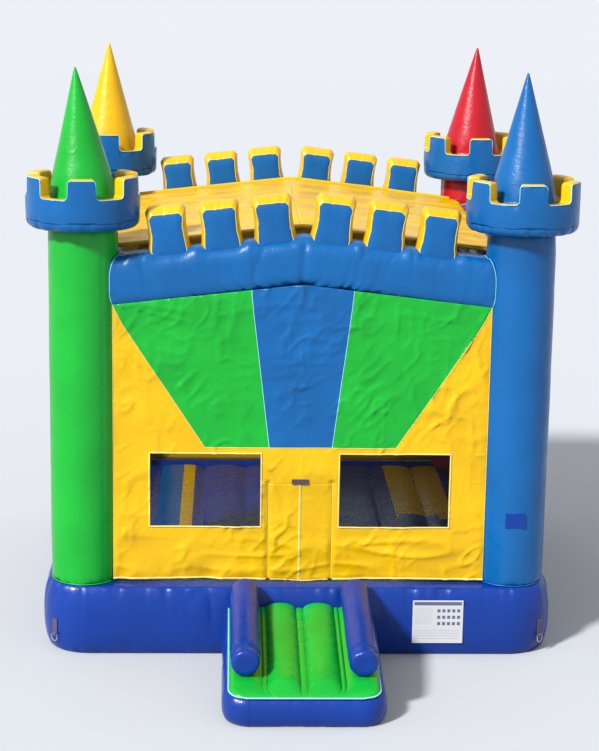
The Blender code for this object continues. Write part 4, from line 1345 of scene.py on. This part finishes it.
def make_bolster(side):
    low, high = box("bolster_" + side)
    radius = (high.x - low.x) / 2
    centre_x = (low.x + high.x) / 2
    slope = math.atan2(step_top(-2.0) - step_top(-3.0), 1.0)
    length = (high.y - low.y) / math.cos(slope) - 2 * radius * math.tan(slope) * 0.5
    front_y = low.y + radius * math.sin(slope)
    seed = 440 if side == "left" else 460
    step = 0.011
    along = np.linspace(0.03, length - 0.03, int(length / step))
    tail_end = [length - 0.012, length - 0.004, length]
    distances = np.concatenate([[0.004, 0.003, 0.0, 0.004, 0.013], along, tail_end])
    radii = np.concatenate([[0, 0.05, 0.078, 0.094, 0.103], np.full(len(along), radius),
                            [radius - 0.006, radius - 0.03, 0]])
    start = Vector((centre_x, front_y, step_top(front_y) + (radius + 0.0006) / math.cos(slope)))
    forward = Vector((0, math.cos(slope), math.sin(slope)))
    upward = Vector((0, -math.sin(slope), math.cos(slope)))
    cap = 0.115

    def place(angle, row):
        row = row.astype(int)
        t, distance = distances[row], radii[row]
        run = angle * radius
        groove = 0.008 * bump(t, cap, 0.010)
        drawn = gathers(seed, run, np.abs(t - cap), 0.030, 0.035) * 0.009
        tail = gathers(seed + 2, run, length - t, 0.04, 0.04) * 0.005
        head = gathers(seed + 4, run, t, 0.04, 0.03) * 0.005
        waist = -0.004 * (t < cap)
        slack = 0.002 * smooth_noise(seed + 6, run / 0.12, t / 0.25)
        relief = np.where(distance > 0.08, waist + slack - groove - drawn - tail - head, 0)
        side_out = (distance + relief) * np.cos(angle)
        up_out = (distance + relief) * np.sin(angle)
        base = np.array(start)[None, :] + t[:, None] * np.array(forward)[None, :]
        return base + side_out[:, None] * np.array([[1, 0, 0]]) + up_out[:, None] * np.array(upward)[None, :]

    mesh = skin("bolster_skin_" + side, np.linspace(0, 2 * math.pi, 97), np.arange(len(distances)), place)
    piece = new_piece(mesh.name, mesh, [MATERIALS["royal_blue"]], "house", "royal_blue", ["bolster_" + side])


# ---- fittings ----

def finish_cad_nodes():
    """CAD nodes whose own shape is right get their real finish."""
    finishes = {"notice_panel": "white", "tether_patch": "royal_blue", "inlet_sleeve": "royal_blue",
                "vent_flap": "royal_blue"}
    for tower in TOWERS:
        finishes["anchor_strap_" + tower] = "webbing"
        finishes["anchor_ring_" + tower] = "steel"
    for name, slot in finishes.items():
        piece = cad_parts[name]
        piece.data.materials.clear()
        piece.data.materials.append(MATERIALS[slot])


# ---- studio ----

def make_studio():
    bm = bmesh.new()
    bmesh.ops.create_grid(bm, x_segments=1, y_segments=1, size=60)
    mesh = bpy.data.meshes.new("studio_floor")
    bm.to_mesh(mesh)
    bm.free()
    floor = bpy.data.objects.new("studio_floor", mesh)
    bpy.context.scene.collection.objects.link(floor)
    floor.location.z = -0.001
    material, _, principled = shader("studio_paper", Roughness=0.9)
    principled.inputs["Base Color"].default_value = (*linear("#A3A5A8"), 1)
    mesh.materials.append(material)
    floor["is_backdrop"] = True

    world = bpy.data.worlds.new("studio_light")
    bpy.context.scene.world = world
    world.use_nodes = True
    background = world.node_tree.nodes["Background"]
    background.inputs["Color"].default_value = (*linear("#EDF1F7"), 1)
    background.inputs["Strength"].default_value = 1.0

    light = bpy.data.lights.new("key", "SUN")
    light.angle = math.radians(7)
    light.energy = 6.8
    lamp = bpy.data.objects.new("key", light)
    bpy.context.scene.collection.objects.link(lamp)
    lamp.rotation_euler = Vector((9.5, 9.5, -10.5)).to_track_quat("-Z", "Y").to_euler()
    bpy.context.scene.view_settings.view_transform = "Standard"

    camera = bpy.data.cameras.new("camera")
    camera.sensor_width = 36.0
    camera.lens = 93.38
    eye = bpy.data.objects.new("camera", camera)
    bpy.context.scene.collection.objects.link(eye)
    eye.matrix_world = (
        Matrix.Translation((-0.561, -16.159, 5.425)) @ Matrix.Rotation(-0.0378, 4, "Z")
        @ Matrix.Rotation(math.radians(90 - 12.73), 4, "X") @ Matrix.Rotation(0.0159, 4, "Z")
    )
    bpy.context.scene.camera = eye


# ---- operators ----

class CASTLE_OT_studio(bpy.types.Operator):
    """Puts the pale floor, the soft lights and the camera in place"""
    bl_idname = "castle.studio"
    bl_label = "Studio"

    def execute(self, context):
        make_studio()
        return {"FINISHED"}


class CASTLE_OT_base(bpy.types.Operator):
    """Makes the inflated base and the jumping floor in it"""
    bl_idname = "castle.base"
    bl_label = "Base and Floor"

    def execute(self, context):
        make_base()
        make_jump_floor()
        return {"FINISHED"}


class CASTLE_OT_towers(bpy.types.Operator):
    """Makes the four columns, their crowns and their spires"""
    bl_idname = "castle.towers"
    bl_label = "Towers"

    def execute(self, context):
        for tower, (colour, turn) in TOWERS.items():
            make_column(tower, colour)
            make_crown(tower, turn)
            make_spire(tower, colour)
        return {"FINISHED"}


class CASTLE_OT_headers(bpy.types.Operator):
    """Makes the header tubes, the merlons on them and the roof sheets"""
    bl_idname = "castle.headers"
    bl_label = "Headers, Merlons and Roof"

    def execute(self, context):
        for side in ("front", "back", "left", "right"):
            make_header(side)
        for row in ("front", "back"):
            make_merlons(row)
        make_roof()
        return {"FINISHED"}


class CASTLE_OT_front_wall(bpy.types.Operator):
    """Makes the front wall's sheets, its seams, the entrance flaps and their bar"""
    bl_idname = "castle.front_wall"
    bl_label = "Front Wall"

    def execute(self, context):
        make_front_wall()
        make_entrance_bar()
        return {"FINISHED"}


class CASTLE_OT_netting(bpy.types.Operator):
    """Makes the nets in the windows and the netted side and back walls"""
    bl_idname = "castle.netting"
    bl_label = "Netting"

    def execute(self, context):
        make_window_nets()
        make_wall_nets()
        return {"FINISHED"}


class CASTLE_OT_step(bpy.types.Operator):
    """Makes the step's block, its bed and the two bolsters"""
    bl_idname = "castle.step"
    bl_label = "Entrance Step"

    def execute(self, context):
        make_step_body()
        make_step_bed()
        for side in ("left", "right"):
            make_bolster(side)
        return {"FINISHED"}


class CASTLE_OT_fittings(bpy.types.Operator):
    """Finishes the notice, the patch, the straps and rings, the sleeve and the flap"""
    bl_idname = "castle.fittings"
    bl_label = "Fittings"

    def execute(self, context):
        finish_cad_nodes()
        return {"FINISHED"}


OPERATORS = (
    CASTLE_OT_studio, CASTLE_OT_base, CASTLE_OT_towers, CASTLE_OT_headers, CASTLE_OT_front_wall,
    CASTLE_OT_netting, CASTLE_OT_step, CASTLE_OT_fittings,
)


class CASTLE_PT_panel(bpy.types.Panel):
    bl_label = "Castle"
    bl_idname = "CASTLE_PT_panel"
    bl_space_type = "VIEW_3D"
    bl_region_type = "UI"
    bl_category = "Castle"

    def draw(self, context):
        for group in (context.scene.castle_sizes, context.scene.castle_colours):
            box = self.layout.box()
            for key in group.__annotations__:
                box.prop(group, key)
        for operator in OPERATORS:
            self.layout.operator(operator.bl_idname)


CLASSES = (CastleColours, CastleSizes, *OPERATORS, CASTLE_PT_panel)


def register():
    for cls in CLASSES:
        bpy.utils.register_class(cls)
    bpy.types.Scene.castle_colours = bpy.props.PointerProperty(type=CastleColours)
    bpy.types.Scene.castle_sizes = bpy.props.PointerProperty(type=CastleSizes)


def unregister():
    del bpy.types.Scene.castle_sizes
    del bpy.types.Scene.castle_colours
    for cls in reversed(CLASSES):
        bpy.utils.unregister_class(cls)


def corners(box):
    return [[float(value) for value in corner] for corner in box]


def main():
    register()
    make_materials()
    for operator in OPERATORS:
        group, action = operator.bl_idname.split(".")
        getattr(getattr(bpy.ops, group), action)()
    {"cad": corners(CAD_BOX), "visual": corners(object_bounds())}


if __name__ == "__main__":
    main()
